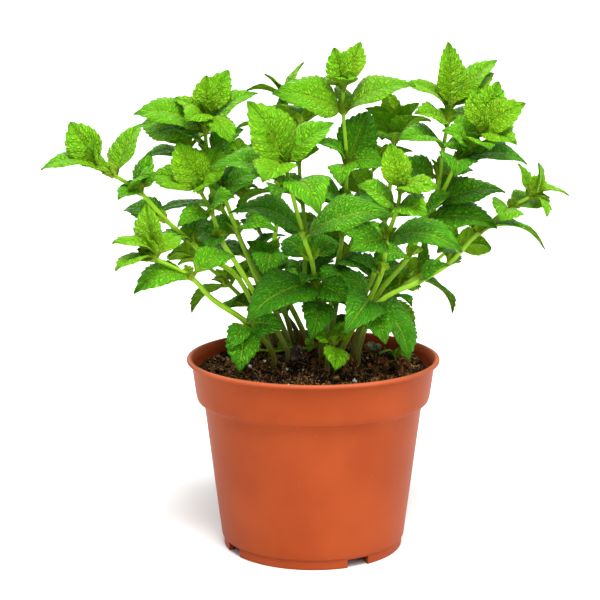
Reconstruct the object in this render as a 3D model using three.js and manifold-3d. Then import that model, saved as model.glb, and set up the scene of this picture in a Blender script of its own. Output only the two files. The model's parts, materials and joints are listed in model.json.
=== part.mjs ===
// A potted mint plant: a moulded nursery pot filled with soil, and leafy stems standing in the soil.
// Millimetres, +Z up, -Y to the front. The origin is the middle of the pot's base, on the surface it
// stands on.

import * as THREE from "three";
import { mergeVertices } from "three/addons/utils/BufferGeometryUtils.js";
import Module from "manifold-3d";

const wasm = await Module();
wasm.setup();

// ---- Driving dimensions ----

const potHeight = 99;
const lipRadius = 65;
const lipHeight = 2.4;
const collarTopRadius = 62.4;
const collarBottomRadius = 60.2;
const collarHeight = 20;
const bodyTopRadius = 56.2;
const bodyBottomRadius = 47.5;
const footRadius = 46.3;
const footHeight = 5;
const footWall = 2.8;
const baseThick = 1.8;
const wall = 1.5;
const potSides = 32;
const collarBottom = potHeight - collarHeight;

const notchWidth = 12;
const notchHeight = 4.4;
const firstNotch = -61; // degrees from +X
const notches = 4;
const drainHoleRadius = 4;
const drainHoleReach = 34;

const soilEdgeHeight = 91.5;
const soilCrown = [-3, 12]; // where the soil heaps highest, x and y
const soilCrownRise = 5.5;
const soilCrownSpread = 34;
const soilClearance = 0.45;
const soilSides = 24;

const stemHoleRadius = 2.75;
const stemHoleFloor = 78.7;
const stemFoot = 79; // height of each stem's lower end
const stemRise = 101; // height where a stem leaves its straight foot
const stemHalf = 1.45; // half the width of a stem's square section at its foot
const stemTipHalf = 0.75;

const budLength = 1.6; // the stem past its last leaves
const rootSink = 1; // each leaf's root, past the middle of the stem
const stalk = 4.2; // the leaf's short stalk, from its root
const stalkHalf = 1.1;
const bladeThick = 1.15; // at the midrib, near the stalk
const bladeTipThick = 0.7;
const bladeSwell = 0.74; // under 1 brings the widest place nearer the stalk
const bladeRoundness = 0.88; // under 1 makes the blade fuller towards its ends
const bladeFold = 0.3; // how far the blade's halves rise from the midrib, as a share of their width
const toothPoint = 1.07; // how far the edge's teeth and notches reach, as shares of that width
const toothNotch = 0.86;
const leastTeeth = 2; // on either side of a leaf
const longerLeaves = [23, 35]; // a leaf has one tooth more for each of these lengths that it passes
// Leaves turn a little to the side of the plant that they grow on, front or back of its middle.
const sideTurn = 0.7;
const sideMiddle = 30;
const sideSoftness = 20;
const bushLeaf = [34, 25]; // leaf lengths at the foot and at the tip of a stem at the back
const youngLeaf = 17;
const leafClearance = 4; // between leaves of different stems
const ownClearance = 2.4; // between leaves of one stem
const potClearance = 3; // between leaves and the soil or the pot's side

const grid = 0.004;
const degree = Math.PI / 180;

// ---- Random draws, the same on every run ----

let seed = 2024;

function draw(low, high) {
  seed = (seed * 16807) % 2147483647;
  return low + ((high - low) * seed) / 2147483647;
}

// ---- The leafy stems ----
// Each row of "nodes" is one node of a stem: the point on the stem, then the reach of each leaf
// that springs from it, from its root to its tip. A fourth number, where there is one, is how far
// that leaf turns its face to the side of the plant, from 0 to 1.

const shoots = [
  { name: "stem_far_left", foot: [-22, 10], nodes: [
    [[-38, 9, 137]],
    [[-53, 2, 149]],
    [[-61, -8, 159], [8, 20, 12], [-17, -16, 3, 0.3]],
    [[-73, -15, 171], [-24, 11, 6, 0.5]],
    [[-85, -22, 186], [-10, -16, 0], [12, -22, 8], [5, -2, 20]],
    [[-97, -28, 195], [-37, -4, 5, 0.1], [12, 10, 26, 0.5]],
    [[-104, -31, 200], [-15, 3, 22], [1, -10, 15]],
  ] },
  { name: "stem_low_left", foot: [-20, -10], nodes: [
    [[-33, -24, 121], [-4, -16, -21], [-12, -14, -10], [14, -16, -9]],
    [[-49, -36, 135]],
    [[-59, -47, 148], [-27, -16, -3, 0.2], [21, 14, 10]],
    [[-75, -58, 159], [-5, 3, 27], [-26, -6, 12, 0.4], [-18, -18, -2, 0.4], [10, 16, 10]],
  ] },
  { name: "stem_left", foot: [-13, -1], nodes: [
    [[-37, -3, 144]],
    [[-46, -4, 159], [-10, -16, -2]],
    [[-51, -7, 174], [11, -19, 12], [-11, -21, 6]],
    [[-56, -13, 185], [-12, 2, 26], [9, 8, 24], [-31, -12, 10, 0.4], [8, -20, 8]],
  ] },
  { name: "stem_left_behind", foot: [-20, 23], nodes: [
    [[-34, 27, 146], [-24, 18, 2], [18, 20, 4], [-22, -17, 0]],
    [[-48, 28, 172], [-38, -6, -2], [16, 24, 6]],
    [[-58, 26, 192], [-32, -10, 8, 0.6], [16, 20, 8]],
    [[-64, 23, 205], [-18, -4, 18], [2, 8, 24], [-12, -18, 10], [14, -10, 18]],
  ] },
  { name: "stem_upper_left", foot: [-12, 17], nodes: [
    [[-32, 17, 144]],
    [[-39, 14, 161], [-22, 20, 4], [20, -14, 5]],
    [[-46, 9, 182], [24, 12, 8], [-20, -22, 4], [9, -9, 18]],
    [[-53, 4, 202], [-30, -14, 4, 0.5], [20, -20, -5]],
    [[-54, 1, 214], [-36, -6, 11, 0.5], [-33, 22, 4], [26, 4, 21, 0.5]],
    [[-53, -3, 222], [11, 5, 24, 0.5], [0, 7, 23, 0.7], [-12, -4, 18], [-18, -17, 11], [15, -23, -6]],
  ] },
  { name: "stem_top_left", foot: [-3, 24], nodes: [
    [[-20, 15, 139], [13, 22, 4], [-24, 18, 2], [13, -19, -5]],
    [[-21, 15, 150], [-13, -24, -20], [9, -11, 3]],
    [[-19, 17, 163]],
    [[-17, 20, 182], [-24, 20, -6], [22, 22, -4], [-11, -16, 8], [10, -10, 10]],
    [[-15, 24, 206], [-26, 14, 9], [26, 14, -2], [11, -10, 8]],
    [[-14, 25, 219], [8, -26, 6], [-4, 26, 4], [-12, -13, 6]],
    [[-14, 26, 228], [9, 2, 21], [2, -6, 18], [-11, 0, 15], [-21, 2, 11, 0.5]],
  ] },
  { name: "stem_centre_front", foot: [4, -6], nodes: [
    [[3, -13, 131], [-4, -22, -15], [-17, -17, -2]],
    [[1, -20, 140], [-34, -28, -10], [-7, -20, 6], [18, -16, -5]],
    [[-1, -26, 153], [-15, 16, 10], [13, 14, 10]],
    [[-5, -34, 166], [-35, -6, 16, 0.6], [43, -18, 15, 0.5]],
    [[-11, -43, 190], [-39, -6, 14, 0.5], [13, -38, -4]],
    [[-14, -48, 202], [23, -1, 22, 0.6], [-17, -9, 32], [-10, -30, -3]],
    [[-19, -52, 209]],
  ] },
  { name: "stem_centre", foot: [6, 12], nodes: [
    [[13, 12, 146], [-2, -27, -17], [14, -16, 1]],
    [[15, 12, 160], [20, -26, -4], [-8, 26, 4], [-13, -20, 5]],
    [[16, 10, 177], [26, 6, -6], [-24, 10, 2], [15, -14, 0], [-18, -18, 10]],
    [[17, 8, 197], [-17, -8, 14], [21, -4, 1], [12, 14, 28], [-4, -24, -6]],
    [[15, 6, 223], [-36, -10, 12], [36, -6, 16, 0.7], [6, 28, 6]],
    [[15, 4, 235], [-5, -3, 22], [9, 8, 25], [-14, 12, 9], [2, -16, 10]],
  ] },
  { name: "stem_behind", foot: [14, 24], nodes: [
    [[31, 26, 134], [22, 20, 2], [-12, 24, 6], [-14, -10, -5]],
    [[38, 32, 165], [14, 26, 2], [-20, 12, 8], [-11, -22, 0]],
    [[42, 37, 193], [24, 13, -6], [-24, 12, -2]],
    [[43, 39, 205], [-8, -26, 6], [6, 26, 2], [-12, -9, 19], [11, -13, 17]],
    [[43, 40, 214], [-5, 0, 20], [8, 0, 20], [-17, 2, 11], [20, 0, 8]],
  ] },
  { name: "stem_upper_right", foot: [21, 13], nodes: [
    [[33, 8, 129]],
    [[49, 5, 150], [-20, -17, 0]],
    [[57, 5, 169], [40, -8, 1, 0.6], [12, -11, 17]],
    [[62, 5, 176], [40, 4, 2, 0.3], [24, 19, 12]],
    [[64, 7, 190], [-28, 8, 4], [16, 26, 2]],
    [[66, 8, 206], [-24, -20, 7], [14, -26, 0]],
    [[68, 9, 217], [6, 28, 6], [-18, -16, 8]],
    [[69, 10, 225], [-1, -2, 35, 0.4], [15, 4, 30, 0.7], [31, 0, 21, 0.6], [-27, -2, 14]],
  ] },
  { name: "branch_right", from: "stem_upper_right", nodes: [
    [[62, 5, 176]],
    [[67, 1, 187]],
    [[71, -6, 198], [36, -5, 12, 0.3], [4, -30, 0]],
    [[77, -10, 207], [-5, 24, 7], [8, -26, 3], [-12, -14, 11]],
    [[82, -14, 214], [9, 0, 27], [-1, 6, 24], [18, 4, 20], [27, -3, 12], [14, -20, 2], [-8, -14, 15],
      [20, -4, 16]],
  ] },
  { name: "stem_front_right", foot: [13, -13], nodes: [
    [[27, -24, 132], [-19, -32, -7], [8, -26, -14], [-13, -6, 18]],
    [[33, -33, 148], [-15, -7, 10]],
    [[35, -43, 166], [-19, -18, 10], [34, -24, 1, 0.8]],
    [[39, -54, 182], [-19, -12, 14], [8, -26, 1]],
    [[40, -59, 191], [-5, 0, 24], [17, -6, 12], [13, -18, 2]],
  ] },
  { name: "stem_far_right", foot: [23, -3], nodes: [
    [[33, -4, 127], [16, -28, -21, 0.1], [12, 20, 3]],
    [[54, -2, 138], [14, -10, 12]],
    [[69, 0, 147], [-2, 26, 4]],
    [[83, 1, 162], [37, 3, -5, 0.1], [-2, 14, 18]],
    [[99, 1, 175], [-7, -29, -1], [17, 25, 6]],
    [[110, 2, 181], [-6, 0, 18], [3, -12, 19], [22, 4, 1, 0.2], [10, 12, 14], [10, -16, -2, 0.5]],
  ] },
  { name: "stem_low_front", foot: [7, -19], nodes: [
    [[8, -20, 105]],
    [[10, -22, 110], [1, -18, -9], [-15, -8, 5], [6, 2, 15]],
  ] },
];

// The stems at the back follow one rule: a heading in degrees from +X, how far out the tip stands
// and how high.
const bushStems = [
  { name: "stem_back_1", foot: [-1, 33], heading: 98, out: 54, top: 212 },
  { name: "stem_back_2", foot: [10, 35], heading: 60, out: 68, top: 190 },
  { name: "stem_back_3", foot: [-11, 30], heading: 128, out: 68, top: 190 },
  { name: "stem_back_4", foot: [5, 42], heading: 84, out: 64, top: 150 },
  { name: "stem_back_5", foot: [22, 25], heading: 31, out: 87, top: 147 },
  { name: "stem_back_6", foot: [-20, 35], heading: 142, out: 78, top: 140 },
  { name: "stem_back_7", foot: [-8, 41], heading: 116, out: 65, top: 128 },
  { name: "stem_back_8", foot: [19, 36], heading: 50, out: 74, top: 124 },
];

function vector([x, y, z]) {
  return new THREE.Vector3(x, y, z);
}

function between(a, b, share) {
  return a + (b - a) * share;
}

// A direction square to the stem, at an angle round it from level.
function roundStem(tangent, angle) {
  const level = new THREE.Vector3(-tangent.y, tangent.x, 0);
  if (level.length() < 0.05) level.set(1, 0, 0);
  level.normalize();
  return level.applyAxisAngle(tangent, angle * degree);
}

// A pair of leaves opposite each other, tilted up towards the stem's tip by "lift" degrees.
function leafPair(tangent, angle, lift, length) {
  return [0, 180].map((half) => {
    const outward = roundStem(tangent, angle + half);
    const reach = outward.multiplyScalar(Math.cos(lift * degree));
    reach.addScaledVector(tangent, Math.sin(lift * degree));
    return reach.multiplyScalar(length * draw(0.9, 1.08)).toArray();
  });
}

function bushShoot({ name, foot, heading, out, top }) {
  const joints = top > 160 ? 5 : 3;
  const tip = [out * Math.cos(heading * degree), out * Math.sin(heading * degree)];
  const points = [];
  for (let i = 1; i <= joints; i++) {
    const share = i / joints;
    const sideways = Math.pow(share, 1.15);
    const x = between(foot[0], tip[0], sideways) + draw(-2, 2);
    const y = between(foot[1], tip[1], sideways) + draw(-2, 2);
    points.push([x, y, between(stemRise, top, Math.pow(share, 0.85))]);
  }
  const nodes = points.map((point, i) => {
    const before = vector(i > 0 ? points[i - 1] : [...foot, stemRise]);
    const tangent = vector(point).sub(before).normalize();
    const length = between(...bushLeaf, i / joints);
    const pair = leafPair(tangent, 90 * i + draw(-15, 15), between(10, 30, i / joints), length);
    const young = i === joints - 1 ? leafPair(tangent, 90 * i + 90, 58, youngLeaf) : [];
    return [point, ...pair, ...young];
  });
  return { name, foot, nodes };
}

// ---- The stem's line ----

// A smooth line through the points, with "steps" steps between each two.
function smoothLine(points, steps) {
  const line = [];
  for (let i = 0; i < points.length - 1; i++) {
    const [a, b, c, d] = [-1, 0, 1, 2].map((k) => points[Math.min(Math.max(i + k, 0), points.length - 1)]);
    for (let k = 0; k < steps; k++) {
      const t = k / steps;
      line.push([0, 1, 2].map((n) => 0.5 * (2 * b[n] + (c[n] - a[n]) * t
        + (2 * a[n] - 5 * b[n] + 4 * c[n] - d[n]) * t * t
        + (3 * b[n] - a[n] - 3 * c[n] + d[n]) * t * t * t)));
    }
  }
  line.push(points[points.length - 1]);
  return line.map(vector);
}

function tangentsOf(line) {
  return line.map((point, i) => {
    const ahead = line[Math.min(i + 1, line.length - 1)];
    const behind = line[Math.max(i - 1, 0)];
    return ahead.clone().sub(behind).normalize();
  });
}

// ---- The leaf's blade ----
// "along" runs from 0 at the root to 1 at the tip, "across" from -1 to 1 between the edges.

function makeLeaf(root, reach, tangent, width, arch, roll, turn) {
  const length = reach.length();
  const forward = reach.clone().normalize();
  const facing = tangent.clone().multiplyScalar(0.6).add(new THREE.Vector3(0, 0, 0.6));
  facing.y += turn * sideTurn * THREE.MathUtils.clamp((root.y - sideMiddle) / sideSoftness, -1, 1);
  facing.addScaledVector(forward, -facing.dot(forward));
  if (facing.length() < 0.1) facing.copy(roundStem(forward, 0));
  const normal = facing.normalize().applyAxisAngle(forward, roll * degree);
  const side = forward.clone().cross(normal);
  return { root, length, forward, normal, side, width, arch, stalkShare: stalk / length };
}

function halfWidth(leaf, along) {
  if (along <= leaf.stalkShare) return stalkHalf;
  const t = (along - leaf.stalkShare) / (1 - leaf.stalkShare);
  const fullness = Math.pow(Math.sin(Math.PI * Math.pow(t, bladeSwell)), bladeRoundness);
  return 0.5 * leaf.width * fullness + stalkHalf * (1 - t);
}

function leafPoint(leaf, along, across, lift) {
  const bow = 4 * along * (1 - along) * leaf.arch * leaf.length;
  const sideways = halfWidth(leaf, along) * across;
  const fold = bladeFold * Math.abs(sideways) * Math.min(1, along / leaf.stalkShare);
  return leaf.root.clone()
    .addScaledVector(leaf.forward, along * leaf.length)
    .addScaledVector(leaf.side, sideways)
    .addScaledVector(leaf.normal, bow + fold + lift);
}

function toothCount(length) {
  return leastTeeth + longerLeaves.filter((limit) => length > limit).length;
}

// The cut edge: each tooth rises slowly, points forward and steps back.
function edgeRows(leaf) {
  const teeth = toothCount(leaf.length);
  const rows = [{ along: leaf.stalkShare, across: 1 }];
  for (let i = 0; i < teeth - 1; i++) {
    const point = between(leaf.stalkShare, 1, (i + 0.85) / teeth);
    const notch = between(leaf.stalkShare, 1, (i + 1) / teeth);
    rows.push({ along: point, across: toothPoint }, { along: notch, across: toothNotch });
  }
  return rows;
}

function leafGeometry(leaf, extra) {
  const points = [];
  const add = (along, across, lift) => points.push(leafPoint(leaf, along, across, lift)) - 1;
  const rib = [leaf.stalkShare, between(leaf.stalkShare, 1, 0.45)];
  const edge = edgeRows(leaf);
  const thickAt = (along) => (between(bladeThick, bladeTipThick, along) + extra) / 2;
  const top = rib.map((along) => ({ along, id: add(along, 0, thickAt(along)) }));
  const bottom = rib.map((along) => ({ along, id: add(along, 0, -thickAt(along)) }));
  const left = edge.map(({ along, across }) => ({ along, id: add(along, -across, 0) }));
  const right = edge.map(({ along, across }) => ({ along, id: add(along, across, 0) }));
  const root = { along: 0, id: add(0, 0, 0) };
  const tip = { along: 1, id: add(1, 0, 0) };
  for (const row of [top, bottom, left, right]) {
    row.unshift(root);
    row.push(tip);
  }
  const faces = [];
  stitch(faces, top, right);
  stitch(faces, left, top);
  stitch(faces, right, bottom);
  stitch(faces, bottom, left);
  return meshGeometry(points, faces);
}

// Triangles between two rows of points that share their root and their tip.
function stitch(faces, a, b) {
  let i = 1;
  let j = 1;
  faces.push(a[0].id, b[1].id, a[1].id);
  while (i + 1 < a.length - 1 || j + 1 < b.length - 1) {
    const stepA = j + 1 === b.length - 1 || (i + 1 < a.length - 1 && a[i + 1].along <= b[j + 1].along);
    const [p, q] = [a[i].id, b[j].id];
    const r = stepA ? a[++i].id : b[++j].id;
    faces.push(p, q, r);
  }
  faces.push(a[i].id, b[j].id, a[a.length - 1].id);
}

function meshGeometry(points, faces) {
  const geometry = new THREE.BufferGeometry().setFromPoints(points);
  geometry.setIndex(faces);
  return geometry;
}

// ---- Keeping the leaves clear of each other ----

const sampleAlong = [0.2, 0.32, 0.44, 0.56, 0.68, 0.8, 0.9, 1];
const sampleAcross = [-0.9, -0.45, 0, 0.45, 0.9];
// Ways to bend a leaf, tried in turn: degrees round the upright, degrees up, share of its length.
const bends = [[0, 0, 1]];
for (const size of [12, 24, 36, 50]) {
  const shrink = 1 - size / 250;
  for (const [turn, up] of [[1, 0], [-1, 0], [0, 1], [0, -1], [1, 1], [-1, 1], [1, -1], [-1, -1]]) {
    bends.push([turn * size, up * size, shrink]);
  }
}

const taken = []; // sample points of every stem, then of every leaf as it is placed

function bentReach(reach, [turn, up, shrink]) {
  const bent = reach.clone().applyAxisAngle(new THREE.Vector3(0, 0, 1), turn * degree);
  const hinge = new THREE.Vector3(bent.y, -bent.x, 0);
  if (hinge.length() < 0.5) hinge.set(1, 0, 0);
  return bent.applyAxisAngle(hinge.normalize(), up * degree).multiplyScalar(shrink);
}

function leafSamples(leaf, shoot) {
  return sampleAlong.flatMap((along) => sampleAcross.map((across) => ({
    point: leafPoint(leaf, along, across, 0), shoot, outer: along > 0.4,
  })));
}

// Above the soil inside the pot, and above its lip.
function clearOfPot({ x, y, z }) {
  const radius = Math.hypot(x, y);
  if (radius < collarTopRadius - potClearance) return z > soilHeight(x, y) + potClearance;
  return radius > lipRadius + potClearance || z > potHeight + potClearance;
}

function isClear(samples) {
  return samples.every(({ point, shoot, outer }) => clearOfPot(point) && taken.every((other) => {
    const own = other.shoot === shoot;
    if (own && !(outer && other.outer)) return true;
    const gap = own ? ownClearance : leafClearance;
    return point.distanceToSquared(other.point) > gap * gap;
  }));
}

// ---- One leafy stem ----

function stemLine(shoot) {
  const points = shoot.nodes.map((node) => node[0]);
  const [before, last] = points.slice(-2).map(vector);
  points.push(last.clone().add(last.clone().sub(before).setLength(budLength)).toArray());
  if (shoot.foot) points.unshift([...shoot.foot, stemFoot], [...shoot.foot, stemRise]);
  const line = smoothLine(points, 2);
  if (shoot.foot) line.splice(1, 1); // the foot stays straight
  return line;
}

function stemHalfAt(shoot, share) {
  return between(shoot.foot ? stemHalf : stemHalf * 0.8, stemTipHalf, share);
}

// The stem is four-angled.
function stemGeometry(shoot) {
  const line = shoot.line;
  const tangents = tangentsOf(line);
  const points = [];
  const faces = [];
  let across = new THREE.Vector3(1, 0, 0);
  line.forEach((point, i) => {
    across = across.clone().addScaledVector(tangents[i], -across.dot(tangents[i])).normalize();
    const other = tangents[i].clone().cross(across);
    const half = stemHalfAt(shoot, i / (line.length - 1));
    for (const [a, b] of [[1, 1], [-1, 1], [-1, -1], [1, -1]]) {
      points.push(point.clone().addScaledVector(across, a * half).addScaledVector(other, b * half));
    }
    if (i === 0) return;
    for (let k = 0; k < 4; k++) {
      const [p, q] = [4 * (i - 1) + k, 4 * (i - 1) + ((k + 1) % 4)];
      faces.push(p, q, q + 4, p, q + 4, p + 4);
    }
  });
  const last = 4 * (line.length - 1);
  faces.push(0, 3, 2, 0, 2, 1, last, last + 1, last + 2, last, last + 2, last + 3);
  return meshGeometry(points, faces);
}

function growLeaves(shoot) {
  shoot.leaves = [];
  shoot.nodes.forEach((node, i) => {
    const behind = i > 0 ? shoot.nodes[i - 1][0] : [...(shoot.foot ?? node[0].slice(0, 2)), stemRise];
    const tangent = vector(node[0]).sub(vector(behind)).normalize();
    for (const reach of node.slice(1)) {
      placeLeaf(shoot, vector(node[0]), vector(reach), tangent, reach[3] ?? 1);
    }
  });
}

function placeLeaf(shoot, node, reach, tangent, turn) {
  const plumpness = draw(0.53, 0.65);
  const level = Math.hypot(reach.x, reach.y) / reach.length();
  const arch = draw(0.08, 0.2) * level;
  const roll = draw(-16, 16);
  for (const bend of bends) {
    const bent = bentReach(reach, bend);
    const root = node.clone().addScaledVector(bent, -rootSink / bent.length());
    root.addScaledVector(tangent, -rootSink * 0.7);
    const leaf = makeLeaf(root, bent, tangent, bent.length() * plumpness, arch, roll, turn);
    const samples = leafSamples(leaf, shoot.body);
    if (isClear(samples)) {
      taken.push(...samples);
      shoot.leaves.push(leaf);
      return;
    }
  }
}

// ---- Joining and cutting ----

function solid(geometry) {
  const bare = geometry.clone();
  bare.deleteAttribute("normal");
  bare.deleteAttribute("uv");
  const merged = mergeVertices(bare, 1e-3);
  return new wasm.Manifold(new wasm.Mesh({
    numProp: 3,
    vertProperties: new Float32Array(merged.attributes.position.array),
    triVerts: new Uint32Array(merged.index.array),
  }));
}

function asGeometry(manifold) {
  const mesh = manifold.getMesh();
  const geometry = new THREE.BufferGeometry();
  geometry.setAttribute("position", new THREE.BufferAttribute(new Float32Array(mesh.vertProperties), 3));
  geometry.setIndex(new THREE.BufferAttribute(new Uint32Array(mesh.triVerts), 1));
  geometry.computeVertexNormals();
  return geometry;
}

// Points closer than the grid become one, and the slivers between them go.
function onGrid(geometry) {
  const position = geometry.attributes.position;
  const index = geometry.index.array;
  const ids = new Map();
  const points = [];
  const idOf = Array.from({ length: position.count }, (_, i) => {
    const steps = [position.getX(i), position.getY(i), position.getZ(i)].map((v) => Math.round(v / grid));
    const key = steps.join();
    if (!ids.has(key)) ids.set(key, points.push(vector(steps).multiplyScalar(grid)) - 1);
    return ids.get(key);
  });
  const kept = new Map();
  for (let i = 0; i < index.length; i += 3) {
    const face = [idOf[index[i]], idOf[index[i + 1]], idOf[index[i + 2]]];
    if (new Set(face).size < 3) continue;
    const key = [...face].sort((a, b) => a - b).join();
    if (kept.has(key)) kept.delete(key);
    else kept.set(key, face);
  }
  return meshGeometry(points, [...kept.values()].flat());
}

// Whether each edge has a face on either side and no more.
function isTight(geometry) {
  const index = geometry.index.array;
  const edges = new Set();
  for (let i = 0; i < index.length; i++) {
    edges.add(`${index[i]},${index[i % 3 === 2 ? i - 2 : i + 1]}`);
  }
  const paired = [...edges].every((edge) => edges.has(edge.split(",").reverse().join()));
  return edges.size === index.length && paired;
}

// Scraps that the leaves' crossing edges leave loose are dropped, and sealed hollows filled. There
// is no result where two edges meet exactly.
function fused(geometries) {
  let geometry = onGrid(asGeometry(geometries.map(solid).reduce((sum, piece) => sum.add(piece))));
  while (isTight(geometry)) {
    const bodies = solid(geometry).decompose();
    if (bodies.length === 1) return geometry;
    const largest = bodies.reduce((most, body) => (body.volume() > most.volume() ? body : most));
    geometry = onGrid(asGeometry(largest));
  }
  return null;
}

function cut(geometry, tools) {
  return asGeometry(tools.map(solid).reduce((whole, tool) => whole.subtract(tool), solid(geometry)));
}

// One leafy stem with its branches. Where two leaves' edges meet exactly, all its leaves get a
// little thicker until none do.
function leafyStemGeometry(parts) {
  for (let extra = 0; ; extra += 0.015) {
    const pieces = parts.flatMap((shoot) => [
      stemGeometry(shoot),
      ...shoot.leaves.map((leaf) => leafGeometry(leaf, extra)),
    ]);
    const geometry = fused(pieces);
    if (geometry) return geometry;
  }
}

// ---- The pot ----

// A ring or cup from half its section, which goes round anticlockwise seen with +X to the right.
function turned(section, sides) {
  const points = section.map(([radius, height]) => new THREE.Vector2(radius, height));
  return new THREE.LatheGeometry(points, sides).rotateX(Math.PI / 2);
}

function potSection() {
  const insideBottom = bodyBottomRadius - wall;
  return [
    [0, footHeight - baseThick],
    [footRadius - footWall, footHeight - baseThick],
    [footRadius - footWall, 0],
    [footRadius, 0],
    [footRadius + 0.2, footHeight],
    [bodyBottomRadius, footHeight],
    [bodyTopRadius, collarBottom - 3],
    [collarBottomRadius - 1.2, collarBottom - 2],
    [collarBottomRadius, collarBottom + 1],
    [collarTopRadius, potHeight - lipHeight - 0.4],
    [lipRadius, potHeight - lipHeight + 0.4],
    [lipRadius - 0.5, potHeight],
    [collarTopRadius - wall, potHeight - 0.4],
    [collarBottomRadius - wall, collarBottom + 2],
    [bodyTopRadius - wall, collarBottom - 3],
    [insideBottom, footHeight + 2],
    [insideBottom - 2, footHeight],
    [0, footHeight],
  ];
}

function potGeometry() {
  const tools = [];
  for (let i = 0; i < notches; i++) {
    const angle = (firstNotch + (360 / notches) * i) * degree;
    const notch = new THREE.BoxGeometry(12, notchWidth, 2 * notchHeight);
    notch.translate(footRadius, 0, 0).rotateZ(angle);
    const hole = new THREE.CylinderGeometry(drainHoleRadius, drainHoleRadius, 12, 16);
    hole.rotateX(Math.PI / 2).translate(drainHoleReach, 0, footHeight).rotateZ(angle);
    tools.push(notch, hole);
  }
  return cut(turned(potSection(), potSides), tools);
}

// ---- The soil ----

function soilHeight(x, y) {
  const reach = Math.hypot(x - soilCrown[0], y - soilCrown[1]);
  const heap = soilCrownRise * Math.exp(-((reach / soilCrownSpread) ** 2));
  const lumps = 0.9 * Math.sin(x * 0.31 + 1.2) * Math.cos(y * 0.27)
    + 0.6 * Math.sin(x * 0.53 - y * 0.61) + 0.4 * Math.cos(x * 0.83 + y * 0.47);
  return soilEdgeHeight + heap + lumps;
}

function insideRadius(height) {
  if (height < collarBottom - 3) {
    const share = (height - footHeight - 2) / (collarBottom - 5 - footHeight);
    return between(bodyBottomRadius - wall, bodyTopRadius - wall, share);
  }
  const share = (height - collarBottom - 2) / (potHeight - 2.4 - collarBottom);
  return between(collarBottomRadius - wall, collarTopRadius - wall, share);
}

function soilGeometry() {
  const gap = soilClearance;
  const edge = insideRadius(soilEdgeHeight) - gap - 0.4;
  const side = [
    [0, footHeight + gap],
    [bodyBottomRadius - wall - 2.4, footHeight + gap],
    [bodyBottomRadius - wall - gap, footHeight + 2.6],
    [bodyTopRadius - wall - gap - 0.25, collarBottom - 2.6],
    [collarBottomRadius - wall - gap - 0.4, collarBottom + 2.4],
    [edge, soilEdgeHeight],
  ];
  const rings = [0.9, 0.74, 0.57, 0.39, 0.2, 0];
  const top = rings.map((share) => [edge * share, soilEdgeHeight]);
  const geometry = turned([...side, ...top], soilSides);
  const position = geometry.attributes.position;
  for (let i = 0; i < position.count; i++) {
    const [x, y, z] = [position.getX(i), position.getY(i), position.getZ(i)];
    const radius = Math.hypot(x, y);
    if (z > soilEdgeHeight - 0.01 && radius < edge - 0.01) position.setZ(i, soilHeight(x, y));
  }
  return geometry;
}

function stemHole([x, y]) {
  const hole = new THREE.CylinderGeometry(stemHoleRadius, stemHoleRadius, 40, 6);
  return hole.rotateX(Math.PI / 2).translate(x, y, stemHoleFloor + 20);
}

// ---- The whole plant ----

const potMaterial = new THREE.MeshStandardMaterial({ color: 0xc4623c, roughness: 0.5, metalness: 0 });
const soilMaterial = new THREE.MeshStandardMaterial({ color: 0x2e2620, roughness: 0.95, metalness: 0 });
const leafMaterial = new THREE.MeshStandardMaterial({ color: 0x4f8f2f, roughness: 0.55, metalness: 0 });

const allShoots = [...shoots, ...bushStems.map(bushShoot)];
for (const shoot of allShoots) {
  shoot.body = shoot.from ?? shoot.name;
  shoot.line = stemLine(shoot);
  for (const point of smoothLine(shoot.line.map((p) => p.toArray()), 3)) {
    taken.push({ point, shoot: shoot.body, outer: false });
  }
}
allShoots.forEach(growLeaves);

const plant = new THREE.Group();

function addPiece(name, geometry, material) {
  const mesh = new THREE.Mesh(geometry, material.clone());
  mesh.name = name;
  plant.add(mesh);
}

const feet = allShoots.filter((shoot) => shoot.foot).map((shoot) => shoot.foot);
addPiece("pot", potGeometry(), potMaterial);
addPiece("soil", cut(soilGeometry(), feet.map(stemHole)), soilMaterial);
for (const name of new Set(allShoots.map((shoot) => shoot.body))) {
  addPiece(name, leafyStemGeometry(allShoots.filter((shoot) => shoot.body === name)), leafMaterial);
}

export default plant;
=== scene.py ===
import json
import math
import random

import bmesh
import bpy
import numpy as np
from mathutils import Matrix, Vector, noise

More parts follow.
